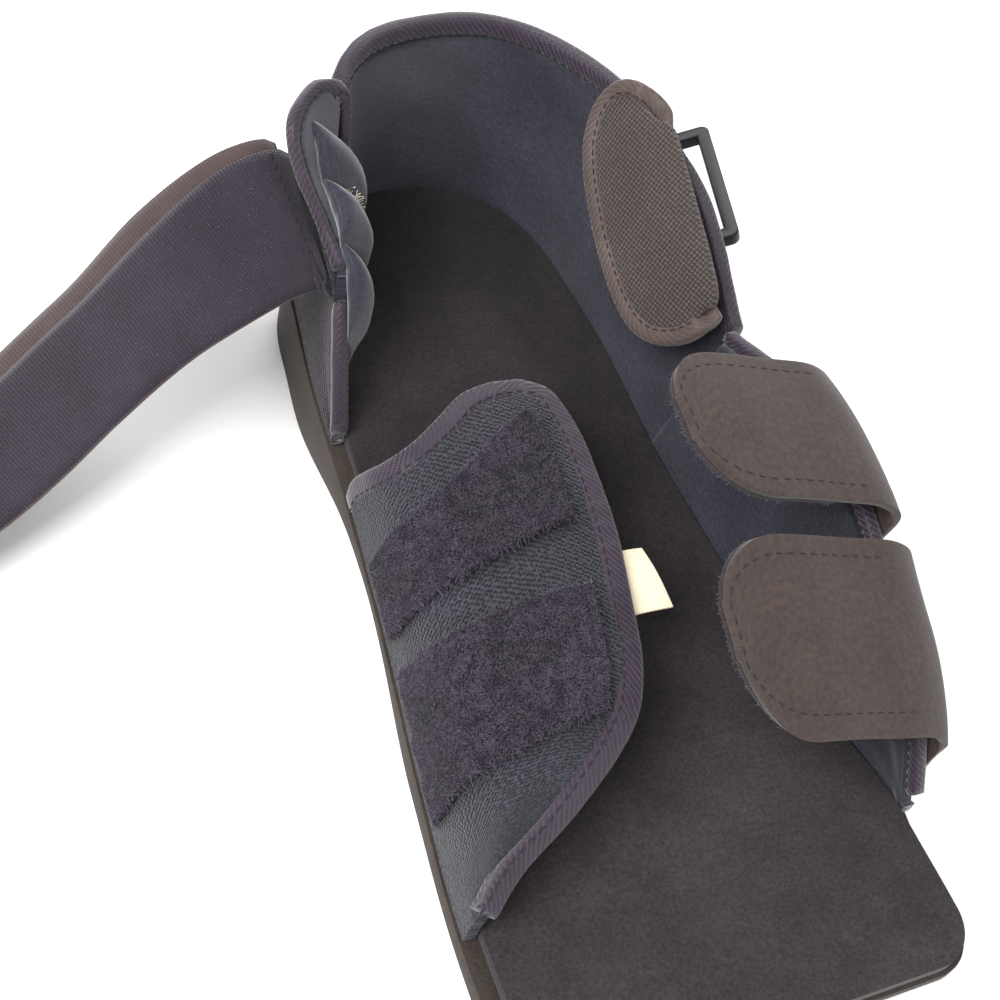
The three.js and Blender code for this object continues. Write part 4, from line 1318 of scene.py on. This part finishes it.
@dataclass
class LeftTab:
    """Standing left ankle tab with its tape and buckled lining."""

    form: ShoeForm
    work: Needlework
    thickness: float = 2.4
    tape_width: float = 5
    tape_thickness: float = 3.4
    loop: float = 4.3
    puffs: int = 3
    # at the rear and at the front: thickness, length, lean in degrees, rise and gap of the puffs
    puff_height: tuple[float, float] = (10, 6)
    puff_length: tuple[float, float] = (27, 13)
    puff_tilt: tuple[float, float] = (44, 10)
    puff_rise: tuple[float, float] = (9.0, -1.0)
    puff_gap: tuple[float, float] = (1.6, 0.6)

    def build(self) -> None:
        """Makes the tab, its tape, its stitches and the lining."""
        form = self.form

        def body(u: float, v: float) -> Vector:
            across = lerp(-0.03, 1.03, u)
            free = (form.tab_point(across, 1) - form.tab_point(across, 0)).length
            return self._face(across, v * max(0.05, 1 - self.tape_width * 0.55 / free))

        tab = cloth_sheet("standing_tab", 40, 12, body, self.thickness)
        declare_sheet(lay(tab, LINING, ["left_tab"]))
        shortest = (form.tab_point(0, 1) - form.tab_point(0, 0)).length
        width = min(self.tape_width, shortest - form.clearance)
        rings, seam = [], []
        steps = 60
        for i in range(steps + 1):
            u = i / steps
            edge = self._face(u, 1)
            inward = (self._face(u, 0) - edge).normalized()
            normal = normal_at(self._face, u, 1)
            centre = edge + inward * (width / 2)
            thick = self.tape_thickness * pucker(centre, 0.15, 9.0)
            rings.append(tape_ring(centre, inward, normal, width, thick))
            side = normal if normal.x > 0 else -normal
            seam.append(edge + inward * (width * 0.8) + side * (thick / 2 - 0.1))
        self._tuck(rings, width)
        names = ("standing_tab_tape", "standing_tab_stitches")
        self.work.bind(names, rings, seam, "left_tab_binding", TAPE, EDGE_STITCH)
        self._lining()

    def _face(self, u: float, v: float) -> Vector:
        """The tab's surface, its rear corner drawn back into a round loop."""
        return self.form.tab_point(u, v) + Vector((0, self.loop * smoothstep(u, 0.7, 1) * v, 0))

    def _tuck(self, rings: list[list[Vector]], width: float) -> None:
        """Runs the tape's rear end over the collar and down inside it."""
        form = self.form
        centres = [sum(ring, Vector()) / len(ring) for ring in rings[-8:]]
        at = (form.tab_end + 0.7) / form.wrap_columns
        top = form.wrap_top(at)
        inside = -form.wrap_outward(at)
        over = form.wrap_point(at, top) + inside * 1.0 + Vector((0, 0, 2.6))
        low = (form.tab_end - 0.4) / form.wrap_columns
        down = form.wrap_point(low, form.wrap_top(low) - 8) + inside * 3.6
        curve = SmoothPath([centres[0], centres[-1], over, down])
        start = (centres[-1] - centres[0]).length / curve.length
        last = rings[-1]
        old = (last[0] - last[len(last) // 2]).normalized()
        steps = 20
        for i in range(1, steps + 1):
            share = lerp(start, 1, i / steps)
            tangent = curve.tangent(share)
            turned = inside * 0.3 - Vector((0, 0, 0.2)) + Vector((0, -1, 0))
            inward = old.lerp(turned, smoothstep(i / steps, 0, 0.8))
            inward = (inward - tangent * inward.dot(tangent)).normalized()
            normal = inward.cross(tangent)
            rings.append(tape_ring(curve.point(share), inward, normal, width, self.tape_thickness))

    def _lining(self) -> None:
        """Three full puffs of the lining, buckled where the tab bends outwards."""
        form = self.form
        steps = 96
        rings = []
        for i in range(steps + 1):
            run = i / steps
            at = lerp(form.tab_end - 2.2, form.tab_start - 2.8, run) / form.wrap_columns
            puff = 0.3 + 0.7 * abs(math.sin(math.pi * self.puffs * run ** 0.92)) ** 0.7
            puff *= 1 - 0.55 * smoothstep(run, 0.9, 1)
            outward = form.wrap_outward(at)
            tilt = math.radians(lerp(*self.puff_tilt, run))
            axis = outward * math.sin(tilt) + Vector((0, 0, math.cos(tilt)))
            square = Vector((0, 0, math.sin(tilt))) - outward * math.cos(tilt)
            half = lerp(*self.puff_length, run) / 2 * (0.72 + 0.28 * puff)
            thick = lerp(*self.puff_height, run) / 2 * puff
            root = form.wrap_point(at, form.wrap_top(at) - form.collar_band * 0.5)
            gap = lerp(*self.puff_gap, run)
            centre = root + axis * lerp(*self.puff_rise, run) + square * (thick + form.wall / 2 + gap)
            ring = []
            for k in range(24):
                angle = 2 * math.pi * k / 24
                crease = 1 + 0.12 * noise.noise(Vector((run * 11, math.cos(angle), math.sin(angle))))
                ring.append(centre + axis * (math.cos(angle) * half * crease)
                            + square * (math.sin(angle) * thick * crease))
            rings.append(ring)
        piece = lay(swept("buckled_lining", rings, False), LINING, ["left_tab_lining"])
        for index, run in enumerate((0.3, 0.36)):
            self._fray(index, rings[int(run * steps)])

    def _fray(self, index: int, ring: Sequence[Vector]) -> None:
        """A few pale frayed yarns in the crease between two puffs."""
        centre = ring[6] - Vector((0, 0, 0.5))
        across, along = Vector((1.2, 0, 0)), Vector((0, 3.4, 2.2))

        def surface(u: float, v: float) -> Vector:
            return centre + across * (v - 0.5) + along * (u - 0.5)

        self.work.pile(f"frayed_yarn_{index}", 2, 2, surface, FRAY, FRAYED, 11 + index)


@dataclass
class RightTab:
    """Oval right ankle tab, its wide tape, the ring and the keeper that holds it."""

    form: ShoeForm
    work: Needlework
    length: float = 78
    width: float = 37
    thickness: float = 4.5
    turned: float = 2.6
    tape: float = 5
    lengthwise: Vector = field(default_factory=lambda: Vector((0.05, 0.9, 0.4)))
    facing: Vector = field(default_factory=lambda: Vector((-0.853, -0.18, 0.489)))
    # outline as shares of the half width and the half length
    outline: tuple[Row, ...] = (
        (0.94, -0.1), (0.925, 0.18), (0.86, 0.46), (0.7, 0.69), (0.42, 0.86), (0.09, 0.935),
        (-0.23, 0.91), (-0.51, 0.78), (-0.7, 0.53), (-0.755, 0.2), (-0.785, -0.2), (-0.8, -0.52),
        (-0.765, -0.77), (-0.57, -0.94), (-0.15, -1), (0.31, -0.95), (0.6, -0.84), (0.79, -0.67), (0.9, -0.42),
    )
    ring_pivot: Vector = field(init=False)
    centre: Vector = field(init=False)
    curve: SmoothPath = field(init=False)

    def __post_init__(self) -> None:
        """Seats the tab and the ring on the wrap and lays the tab's outline."""
        self.ring_pivot = self.form.seat(0.773, 0.659, 13.7)
        self.centre = self.form.seat(0.8425, 0.8409, -11.25)
        self.facing = self.facing.normalized()
        self.across = self.facing.cross(self.lengthwise).normalized()
        self.upward = self.across.cross(self.facing).normalized()
        points = [
            self.centre + self.across * (a * self.width / 2) + self.upward * (b * self.length / 2)
            for a, b in self.outline
        ]
        self.curve = SmoothPath(points, 24, closed=True)

    def _rim(self, share: float) -> tuple[Vector, Vector, float, float]:
        """Edge of the tab, the way in, and how far its tape and its pad are turned under."""
        edge = self.curve.point(share)
        inward = self.curve.tangent(share).cross(self.facing).normalized()
        if inward.dot(self.centre - edge) < 0:
            inward = -inward
        side = -(edge - self.centre).dot(self.across) / (self.width / 2)
        return edge, inward, smoothstep(side, 0.42, 0.65), smoothstep(side, 0.65, 0.74)

    def build(self) -> None:
        """Makes the padded panel, the tape, the stitches, the ring and the keeper."""
        self._panel()
        steps = 220
        rings: list[list[Vector]] = []
        seam: list[Vector] = []
        depth = 0.36 * self.thickness + self.form.clearance + self.turned / 2
        for i in range(steps):
            edge, inward, dive, under = self._rim(i / steps)
            middle = edge + inward * lerp(self.tape / 2, self.tape, under) - self.facing * (depth * dive)
            thick = lerp(self.thickness, self.turned, dive) * pucker(middle, 0.12, 2.0)
            rings.append(tape_ring(middle, inward, self.facing, self.tape, thick))
            if dive < 0.5:
                seam.append(middle + inward * (self.tape * 0.3) + self.facing * (thick / 2 - 0.15))
        self.work.bind(("oval_tab_tape", "oval_tab_stitches"), rings, self._from_gap(seam),
                       "right_tab_binding", TAB_TAPE, OVAL_STITCH, closed=True)
        self._ring()
        self._keeper()

    @staticmethod
    def _from_gap(line: list[Vector]) -> list[Vector]:
        """Starts an open line after its widest gap."""
        widest = max(range(len(line)), key=lambda i: (line[i] - line[i - 1]).length)
        return line[widest:] + line[:widest]

    def _panel(self) -> None:
        """The mesh pad inside the tape, blown up a little by a cloth simulation."""
        clear = self.form.clearance
        steps, shells = 96, 12
        points: list[Vector] = []
        for side, rim_height, crown_height in ((1, 0.3, 0.25), (-1, 0.25, 0.12)):
            for k in range(shells):
                shrink = (k / shells) ** 1.3
                height = rim_height + crown_height * math.sin(math.pi / 2 * min(1, shrink * 2))
                for i in range(steps):
                    edge, inward, _, under = self._rim(i / steps)
                    rim = edge + inward * lerp(self.tape - 0.8, clear, under)
                    lift = self.facing * (side * height * self.thickness)
                    points.append(rim.lerp(self.centre, shrink) + lift)
            crown = side * (rim_height + crown_height) * self.thickness
            points.append(self.centre + self.facing * crown)
        block = steps * shells + 1
        faces: list[tuple[int, ...]] = []
        for side in range(2):
            start = side * block
            for k in range(shells - 1):
                for i in range(steps):
                    j = (i + 1) % steps
                    a, b = start + k * steps, start + (k + 1) * steps
                    faces.append((a + i, a + j, b + j, b + i))
            last = start + (shells - 1) * steps
            faces += [(last + i, last + (i + 1) % steps, start + block - 1) for i in range(steps)]
        faces += [(i, block + i, block + (i + 1) % steps, (i + 1) % steps) for i in range(steps)]
        uvs = [((p - self.centre).dot(self.upward), (p - self.centre).dot(self.across)) for p in points]
        panel = object_from("net_pad", points, faces, uvs)
        inflate(panel, 3.0, 0.8)
        lay(panel, TAB_NET, ["right_tab_panel"])

    def _ring(self) -> None:
        """The moulded ring, its edges rounded, in place of the square-edged solid."""
        data = bpy.data.objects["strap_ring"].data.copy()
        data.materials.clear()
        bm = bmesh.new()
        bm.from_mesh(data)
        bmesh.ops.remove_doubles(bm, verts=bm.verts, dist=1e-6)
        bmesh.ops.dissolve_limit(bm, angle_limit=math.radians(2), verts=bm.verts, edges=bm.edges)
        bm.to_mesh(data)
        bm.free()
        piece = link("rounded_ring", data)
        round_edges(piece, 0.9, 4, 40).harden_normals = True
        shade_smooth(data)
        lay(piece, MOULDED, ["strap_ring"], RING_BODY)

    def _keeper(self) -> None:
        """Webbing folded round the ring's pivot bar, its tails sewn together."""
        bar, clear, thick, width, length = 3.8, 0.3, 1.6, 26.0, 26.0
        pivot = self.ring_pivot
        along = Vector((-0.26, -0.966, 0)).normalized()
        turn = bar * 0.75 + clear + thick / 2
        down = Vector((-0.32, 0.02, -0.94)).normalized()
        out = along.cross(down).normalized()
        tail_steps, bend_steps = 14, 16

        def tail(share: float, side: int) -> Vector:
            squeeze = 1 - 0.62 * smoothstep(share, 0.05, 0.4)
            return pivot + down * (share * length) + out * (side * turn * squeeze)

        path = [tail(1 - i / tail_steps, -1) for i in range(tail_steps + 1)]
        for i in range(1, bend_steps):
            angle = math.pi * i / bend_steps
            path.append(pivot - down * (turn * math.sin(angle)) - out * (turn * math.cos(angle)))
        path += [tail(i / tail_steps, 1) for i in range(tail_steps + 1)]
        curve = SmoothPath(path, 4)
        rings = []
        steps = 70
        for i in range(steps + 1):
            tangent = curve.tangent(i / steps)
            normal = tangent.cross(along).normalized()
            rings.append(tape_ring(curve.point(i / steps), along, normal, width, thick, 24))
        piece = lay(swept("webbing_keeper", rings, False), WEBBING, ["ring_keeper"])
        row = pivot + down * (length * 0.5) + (out if out.x > 0 else -out) * (turn * 0.38 + thick / 2)
        ends = [row + along * (width * 0.42), row - along * (width * 0.42)]
        line = [ends[0].lerp(ends[1], k / 12) for k in range(13)]
        self.work.sew("keeper_stitches", line, KEEPER_STITCH)


FILLING_FRAMES = 12
FILLING_SETTINGS = {
    "use_pressure": True, "tension_stiffness": 40, "compression_stiffness": 40, "bending_stiffness": 4,
}


def inflate(piece: Piece, pressure: float, cap: float) -> None:
    """Fills a padded piece by a short cloth simulation and applies it.

    Args:
        piece: a closed mesh.
        pressure: the filling's push.
        cap: how far a point may move, in millimetres.
    """
    scene = bpy.context.scene
    before = [v.co.copy() for v in piece.data.vertices]
    cloth = piece.modifiers.new("filling", "CLOTH")
    for key, value in FILLING_SETTINGS.items():
        setattr(cloth.settings, key, value)
    cloth.settings.uniform_pressure_force = pressure
    cloth.settings.effector_weights.gravity = 0
    cloth.point_cache.frame_start = 1
    cloth.point_cache.frame_end = FILLING_FRAMES
    for number in range(1, FILLING_FRAMES + 1):
        scene.frame_set(number)
    depsgraph = bpy.context.evaluated_depsgraph_get()
    shaped = piece.evaluated_get(depsgraph).data
    moved = [v.co.copy() for v in shaped.vertices]
    piece.modifiers.remove(cloth)
    scene.frame_set(1)
    limit = cap * MM
    for vertex, old, new in zip(piece.data.vertices, before, moved):
        shift = new - old
        if shift.length > limit:
            shift *= limit / shift.length
        vertex.co = old + shift
    piece.data.update()


@dataclass
class ForefootFlap:
    """Flap over the forefoot with its tape, two loop patches and the bare label."""

    form: ShoeForm
    work: Needlework
    tape_width: float = 7
    tape_thickness: float = 4
    patch_thickness: float = 1.8
    span: tuple[float, float] = (0.1, 0.83)
    # name, solid, rear and front at the seam, rear and front at the free side
    patches: tuple[tuple[str, str, float, float, float, float], ...] = (
        ("rear_plush", "loop_patch_rear", 10, -13, 27, -8),
        ("front_plush", "loop_patch_front", -24, -64, -27, -58),
    )

    def build(self) -> None:
        """Makes all the flap's pieces."""
        self._panel()
        self._tape()
        for seed, (name, node, *corners) in enumerate(self.patches):
            self._patch(name, node, corners, seed)
        self._label()

    def _panel(self) -> None:
        """The spacer mesh ground."""
        form = self.form
        inset = self.tape_width * 0.6
        rear, front = form.flap_rear - inset, form.flap_front + 1
        limits: dict[float, float] = {}

        def surface(u: float, v: float) -> Vector:
            y = lerp(rear, front, u)
            if y not in limits:
                limits[y] = form.flap_inset(y, inset)
            return form.flap_point(y, v * limits[y])

        def cushioned(u: float, v: float) -> Vector:
            return surface(u, v) + Vector((0, 0, 0.5 * noise.noise(Vector((u * 7, v * 5, 0.3)))))

        panel = cloth_sheet("flap_ground", 84, 44, cushioned, form.flap_thickness)
        declare_sheet(lay(panel, FLAP_NET, ["forefoot_flap"]))

    def _border(self, step: float, rear_steps: int, free_steps: int) -> tuple[float, float]:
        """Place along the shoe and share from the seam of a step along the border."""
        if step <= rear_steps:
            return self.form.flap_rear, step / rear_steps
        return lerp(self.form.flap_rear, self.form.flap_front, (step - rear_steps) / free_steps), 1.0

    def _tape(self) -> None:
        """Tape up the rear edge and along the free edge, puckered by its stitches."""
        form = self.form
        rear_steps, free_steps = 40, 150
        steps = rear_steps + free_steps
        rough = [form.flap_point(*self._border(i, rear_steps, free_steps)) for i in range(steps + 1)]
        reach = 5
        rings, seam = [], []
        for i in range(steps + 1):
            y, share = self._border(i, rear_steps, free_steps)
            tangent = (rough[min(steps, i + reach)] - rough[max(0, i - reach)]).normalized()
            lengthwise = form.flap_point(y - 0.5, share) - form.flap_point(y + 0.5, share)
            crosswise = form.flap_point(y, min(1, share + 0.01))
            crosswise -= form.flap_point(y, max(0, share - 0.01))
            normal = crosswise.cross(lengthwise).normalized()
            inward = normal.cross(tangent).normalized()
            centre = rough[i] + inward * (self.tape_width / 2)
            thick = self.tape_thickness * pucker(centre, 0.16, 6.0)
            rings.append(tape_ring(centre, inward, normal, self.tape_width, thick, 18))
            up = normal if normal.z > 0 else -normal
            seam.append(centre + inward * (self.tape_width * 0.28) + up * (thick / 2 - 0.12))
        self.work.bind(("flap_tape", "flap_stitches"), rings, seam, "flap_binding", TAPE, FLAP_STITCH)

    def _patch(self, name: str, node: str, corners: Sequence[float], seed: int) -> None:
        """One loop patch: its ground and the pile that stands on it."""
        seam_rear, seam_front, free_rear, free_front = corners

        def surface(u: float, v: float) -> Vector:
            share = lerp(*self.span, v)
            y = lerp(lerp(seam_rear, free_rear, v), lerp(seam_front, free_front, v), u)
            return self.form.flap_point(y, share)

        sign = math.copysign(1, normal_at(surface, 0.5, 0.5).z)
        lift = self.form.flap_thickness / 2 + 2 * self.form.clearance + self.patch_thickness / 2
        middle = offset(surface, sign * lift)
        ground = cloth_sheet(name + "_ground", 40, 40, middle, self.patch_thickness)
        lay(ground, PLUSH_GROUND, [node])
        declare_sheet(ground)
        top = offset(surface, sign * (lift + self.patch_thickness / 2))
        tufted = ripple(offset(top, sign * 0.35), 0.5, 0.3, 8.0 + seed)
        self.work.pile(name + "_pile", 60, 60, tufted, PLUSH, LOOPS, 31 + seed)

    def _label(self) -> None:
        """Bare cream tape that shows from under the free edge."""
        form = self.form
        length, width = 18.0, 20.0

        def surface(u: float, v: float) -> Vector:
            y = lerp(-17, -17 - length, u)
            edge, under = form.flap_point(y, 1), form.flap_point(y, 0.9).z
            curl = 0.8 * math.sin(math.pi * u) * v
            height = under - self.tape_thickness / 2 - 1 - 3 * v ** 2 + curl
            return Vector((edge.x - 6 + (width - 5.2 * (1 - u)) * v, y + 2 * v, height))

        piece = cloth_sheet("bare_label", 20, 20, surface, 0.8)
        declare_sheet(lay(piece, CREAM, ["label"]))


@dataclass
class SideWall:
    """Right side wall with its tape and the two forefoot straps."""

    form: ShoeForm
    work: Needlework
    tape_height: float = 4
    strap_thickness: float = 2
    hook_thickness: float = 1.2
    root: float = 20
    tip: float = 20
    hook_start: float = 0.45
    stitch_inset: float = 4
    stitched: tuple[float, float] = (0.36, 0.955)
    # out from the wall and up from its top, as shares of the strap's reach
    run: tuple[Row, ...] = (
        (0, -1), (0, -0.3), (0, 0.07), (-0.12, 0.18), (-0.38, 0.26), (-0.7, 0.34), (-1, 0.4),
    )
    # name, rear, width and reach
    straps: tuple[tuple[str, float, float, float], ...] = (
        ("rear_strap", 2, 39, 57), ("front_strap", -46, 38, 63),
    )

    def build(self) -> None:
        """Makes the wall, its tape and both straps."""
        form = self.form

        def wall(u: float, v: float) -> Vector:
            y = lerp(form.side_rear, form.side_front, u)
            slope = form.side_top(y + 0.5) - form.side_top(y - 0.5)
            inset = (self.tape_height + 3 * form.clearance) * math.hypot(1, slope)
            point = form.side_point(y, lerp(form.seam(y) + form.foot_gap, form.side_top(y) - inset, v))
            swell = 0.8 * noise.noise(Vector((u * 8, v * 3, 5.1))) * math.sin(math.pi * v)
            return point + Vector((swell, 0, 0))

        panel = cloth_sheet("right_wall", 90, 30, wall, form.wall)
        declare_sheet(lay(panel, LINING, ["side_panel"]))
        rings, seam = [], []
        steps = 110
        for i in range(steps + 1):
            y = lerp(form.side_rear, form.side_front, i / steps)
            ahead = form.side_point(y - 0.5, form.side_top(y - 0.5))
            behind = form.side_point(y + 0.5, form.side_top(y + 0.5))
            normal = Vector((1, 0, 0))
            inward = normal.cross((ahead - behind).normalized()).normalized()
            inward = -inward if inward.z > 0 else inward
            centre = form.side_point(y, form.side_top(y)) + inward * (self.tape_height / 2)
            thick = (form.wall + 1) * pucker(centre, 0.1, 3.0)
            rings.append(tape_ring(centre, inward, normal, self.tape_height, thick))
            seam.append(centre + inward * (self.tape_height * 0.25) - normal * (thick / 2 - 0.1))
        names = ("right_wall_tape", "right_wall_stitches")
        self.work.bind(names, rings, seam, "side_binding", TAPE, EDGE_STITCH)
        for index, (name, rear, width, reach) in enumerate(self.straps):
            self._strap(name, width, self._surface(rear, width, reach), index)

    def _surface(self, rear: float, width: float, reach: float) -> Surface:
        """Middle of a strap: up outside the wall, over its top and inwards to the tip."""
        form = self.form
        seat = (form.wall + 1) / 2 + 3 * form.clearance + self.strap_thickness / 2
        path = SmoothPath([
            Vector((seat + out * reach, 0, up * (self.root if up < 0 else reach)))
            for out, up in self.run
        ])

        def surface(u: float, v: float) -> Vector:
            along = 1 - (1 - u) ** 1.4
            to_tip = clamp(1 - (1 - along) * path.length / self.tip, 0, 1)
            narrow = max(0.3, (1 - to_tip ** 2.2) ** (1 / 2.2))
            y = rear - width * (0.5 + (v - 0.5) * narrow)
            place = path.point(clamp(along, 0, 1))
            height = form.side_top(y)
            wall = form.side_point(y, height + min(0, place.z))
            return Vector((wall.x + place.x, y - 0.08 * place.x, height + place.z))

        return surface

    def _strap(self, name: str, width: float, even: Surface, index: int) -> None:
        """One strap: microfibre face, hook tape under its inner half, stitches and fuzz.

        Args:
            name: the strap's name.
            width: of the strap, in millimetres.
            even: the strap's middle surface.
            index: its number, for its own swells.
        """
        surface = ripple(even, 0.7, 0.05, 3.0 + index)
        face = cloth_sheet(name + "_face", 90, 40, surface, self.strap_thickness)
        declare_sheet(lay(face, NUBUCK, [name]))

        def under(u: float, v: float) -> Vector:
            return surface(lerp(self.hook_start, 1, u), v)

        sign = -math.copysign(1, normal_at(under, 0.5, 0.5).z)
        lift = self.strap_thickness / 2 + self.form.clearance + self.hook_thickness / 2
        hook = cloth_sheet(name + "_hooks", 50, 30, offset(under, sign * lift), self.hook_thickness)
        declare_sheet(lay(hook, HOOK, [name + "_hook"]))
        self.work.pile(name + "_fuzz", 40, 30, offset(under, sign * (lift + self.hook_thickness / 2)),
                       HOOK_FUZZ, HOOK_ENDS, 51 + index)
        top = offset(surface, -sign * (self.strap_thickness / 2 - 0.1))
        start, end = self.stitched
        margin = self.stitch_inset / width
        line = [top(lerp(start, end, k / 60), margin) for k in range(61)]
        line += [top(end, lerp(margin, 1 - margin, k / 20)) for k in range(1, 20)]
        line += [top(lerp(end, start, k / 60), 1 - margin) for k in range(61)]
        self.work.sew(name + "_stitches", line, STRAP_STITCH)


@dataclass
class AnkleStrap:
    """Wide webbing strap on the left tab, folded back on itself."""

    form: ShoeForm
    work: Needlework
    width: float = 38
    thickness: float = 1.8
    reach: float = 136
    layer_gap: float = 1.5
    shift: float = 10
    twist: float = 0.5
    back_end: float = 0.035
    row: float = 0.085
    tucked_rings: int = 16
    tuck: Vector = field(default_factory=lambda: Vector((5.2, 1.2, -8.2)))
    across_root: Vector = field(default_factory=lambda: Vector((0.14, -0.855, -0.499)))
    across_end: Vector = field(default_factory=lambda: Vector((0.21, -0.96, 0.125)))
    # length and direction of each stretch
    run: tuple[Row, ...] = (
        (0.082, -0.96, -0.25, 0.02), (0.18, -0.87, -0.21, -0.445), (0.228, -0.78, -0.24, -0.58),
        (0.235, -0.8, -0.33, -0.5), (0.275, -0.88, -0.4, -0.22),
    )

    def _curve(self) -> SmoothPath:
        """Middle line of the outer layer."""
        root = self.form.seat(0.1615, 0.7386, 9.64)
        points = [root + self.tuck, root + self.tuck * 0.35, root.copy()]
        end = root.copy()
        for length, *direction in self.run:
            end = end + Vector(direction).normalized() * (length * self.reach)
            points.append(end.copy())
        return SmoothPath(points)

    def build(self) -> None:
        """Makes the strap and its stitched row."""
        curve = self._curve()

        def at_share(at: float) -> tuple[Vector, Vector, Vector, Vector]:
            tangent = curve.tangent(at)
            side = self.across_root.lerp(self.across_end, smoothstep(at, 0, self.twist)).normalized()
            side = (side - tangent * side.dot(tangent)).normalized()
            return curve.point(at), tangent, side, side.cross(tangent).normalized()

        layer = self.thickness + self.layer_gap
        rings: list[list[Vector]] = []
        steps = 110
        for i in range(steps + 1):
            point, _, side, normal = at_share(i / steps)
            wave = 0.5 * noise.noise(Vector((i / steps * 7, 0.4, 2.2)))
            rings.append(self._ring(point + normal * wave, side, normal))
        point, tangent, side, normal = at_share(1)
        away = -1 if normal.z > 0 else 1
        for i in range(1, 20):
            angle = i / 20 * math.pi
            centre = point + normal * (away * layer / 2 * (1 - math.cos(angle)))
            centre += tangent * (layer / 2 * math.sin(angle)) - side * (self.shift * 0.15 * i / 20)
            turned = Matrix.Rotation(away * angle, 3, side) @ normal
            rings.append(self._ring(centre, side, turned))
        back = 96
        for i in range(back + 1):
            run = i / back
            point, _, side, normal = at_share(lerp(1, self.back_end, run))
            spread = lerp(1, 0.42, smoothstep(run, 0.6, 1))
            shift = self.shift * (0.15 + 0.85 * smoothstep(run, 0, 0.35)) * spread
            rings.append(self._ring(point + normal * (away * layer) - side * shift, side, -normal))
        piece = swept("ankle_webbing", rings, False)
        # The second finish is the paler inner face, partly its own colour and partly painted sheen.
        for finish in (WEBBING, WEBBING_BACK_PAINTED_SHEEN):
            piece.data.materials.append(material_of(finish))
        sides = len(rings[0])
        # The tucked root shows its dark face on both sides.
        tucked = self.tucked_rings * sides
        for face in piece.data.polygons[tucked: (len(rings) - 1) * sides]:
            face.material_index = 1 if face.index % sides < sides // 2 else 0
        lay(piece, WEBBING, ["ankle_strap"])
        self._stitched_row(at_share)

    def _ring(self, centre: Vector, side: Vector, normal: Vector) -> list[Vector]:
        """Section of the webbing: its outer face first, then its inner face."""
        columns = 14
        half, thick = self.width / 2, self.thickness / 2
        ring = []
        for face in (1, -1):
            for k in range(columns + 1):
                x = face * lerp(-half, half, k / columns)
                thinned = 1 - 0.45 * (abs(x) / half) ** 14
                ring.append(centre + side * x + normal * (face * thick * thinned))
        return ring

    def _stitched_row(self, at_share: Callable[[float], tuple[Vector, Vector, Vector, Vector]]) -> None:
        """Stitched row across the strap near its root."""
        steps = 12
        point, _, side, normal = at_share(self.row)
        surface = (normal if normal.z > 0 else -normal) * (self.thickness / 2 + 0.05)
        across = [lerp(-0.45, 0.45, k / steps) * self.width for k in range(steps)]
        line = [point + side * place + surface for place in across]
        self.work.sew("ankle_webbing_stitches", line, WEBBING_STITCH)


@dataclass
class Studio:
    """Pale floor, soft light and the camera at the photograph's angle."""

    # Camera place in millimetres from the middle of the insole, and its two picture directions
    eye: Vector = field(default_factory=lambda: Vector((-180.4, -199.1, 345.0)))
    picture_right: Vector = field(default_factory=lambda: Vector((0.9028, -0.36785, 0.22279)))
    picture_up: Vector = field(default_factory=lambda: Vector((0.16706, 0.77733, 0.6065)))
    lens: float = 57.64

    def build(self) -> None:
        """Sets up camera, floor, lights and world."""
        scene = bpy.context.scene
        right, up = self.picture_right.normalized(), self.picture_up.normalized()
        back = right.cross(up).normalized()
        turn = Matrix((right, up, back)).transposed().to_4x4()
        camera = link("camera", bpy.data.cameras.new("camera"))
        camera.data.lens = self.lens
        camera.data.sensor_width = 36
        camera.data.clip_start = 0.01
        camera.matrix_world = Matrix.Translation(to_frame(self.eye)) @ turn
        scene.camera = camera
        self._floor()
        self._light("key", (-0.6, -0.3, 0.7), 0.5, 15.0)
        self._light("fill", (0.5, -0.75, 0.7), 0.8, 5.0)
        self._light("back", (0.2, 0.7, 0.8), 0.6, 7.0)
        world = bpy.data.worlds.new("soft_room")
        world.use_nodes = True
        sky = world.node_tree.nodes["Background"].inputs
        sky["Color"].default_value = (0.95, 0.97, 1.0, 1.0)
        sky["Strength"].default_value = 0.66
        scene.world = world
        scene.view_settings.view_transform = "Standard"

    @staticmethod
    def _floor() -> None:
        """Plain pale floor."""
        half = 3.0
        data = bpy.data.meshes.new("floor")
        corners = [(-half, -half, 0), (half, -half, 0), (half, half, 0), (-half, half, 0)]
        data.from_pydata(corners, [], [(0, 1, 2, 3)])
        material = bpy.data.materials.new("pale_floor")
        material.use_nodes = True
        shader = material.node_tree.nodes["Principled BSDF"]
        shader.inputs["Base Color"].default_value = linear("#f1f0ee")
        shader.inputs["Roughness"].default_value = 0.9
        data.materials.append(material)
        link("floor", data)

    @staticmethod
    def _light(name: str, place: tuple[float, float, float], size: float, power: float) -> None:
        """Square soft light turned towards the shoe."""
        light = link(name, bpy.data.lights.new(name, "AREA"))
        light.data.size = size
        light.data.energy = power
        light.location = place
        target = Vector((0, -0.1, 0.03))
        light.rotation_euler = (target - Vector(place)).to_track_quat("-Z", "Y").to_euler()


def main() -> None:
    """Builds every piece in order."""
    logging.basicConfig(level=logging.INFO, format="%(name)s %(message)s")
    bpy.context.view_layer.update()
    Studio().build()
    form, work = ShoeForm(), Needlework()
    dressed = (HeelWrap, LeftTab, RightTab, ForefootFlap, SideWall, AnkleStrap)
    for assembly in (Sole(form), *(kind(form, work) for kind in dressed)):
        assembly.build()
        LOG.info("%s done", type(assembly).__name__)


if __name__ == "__main__":
    main()
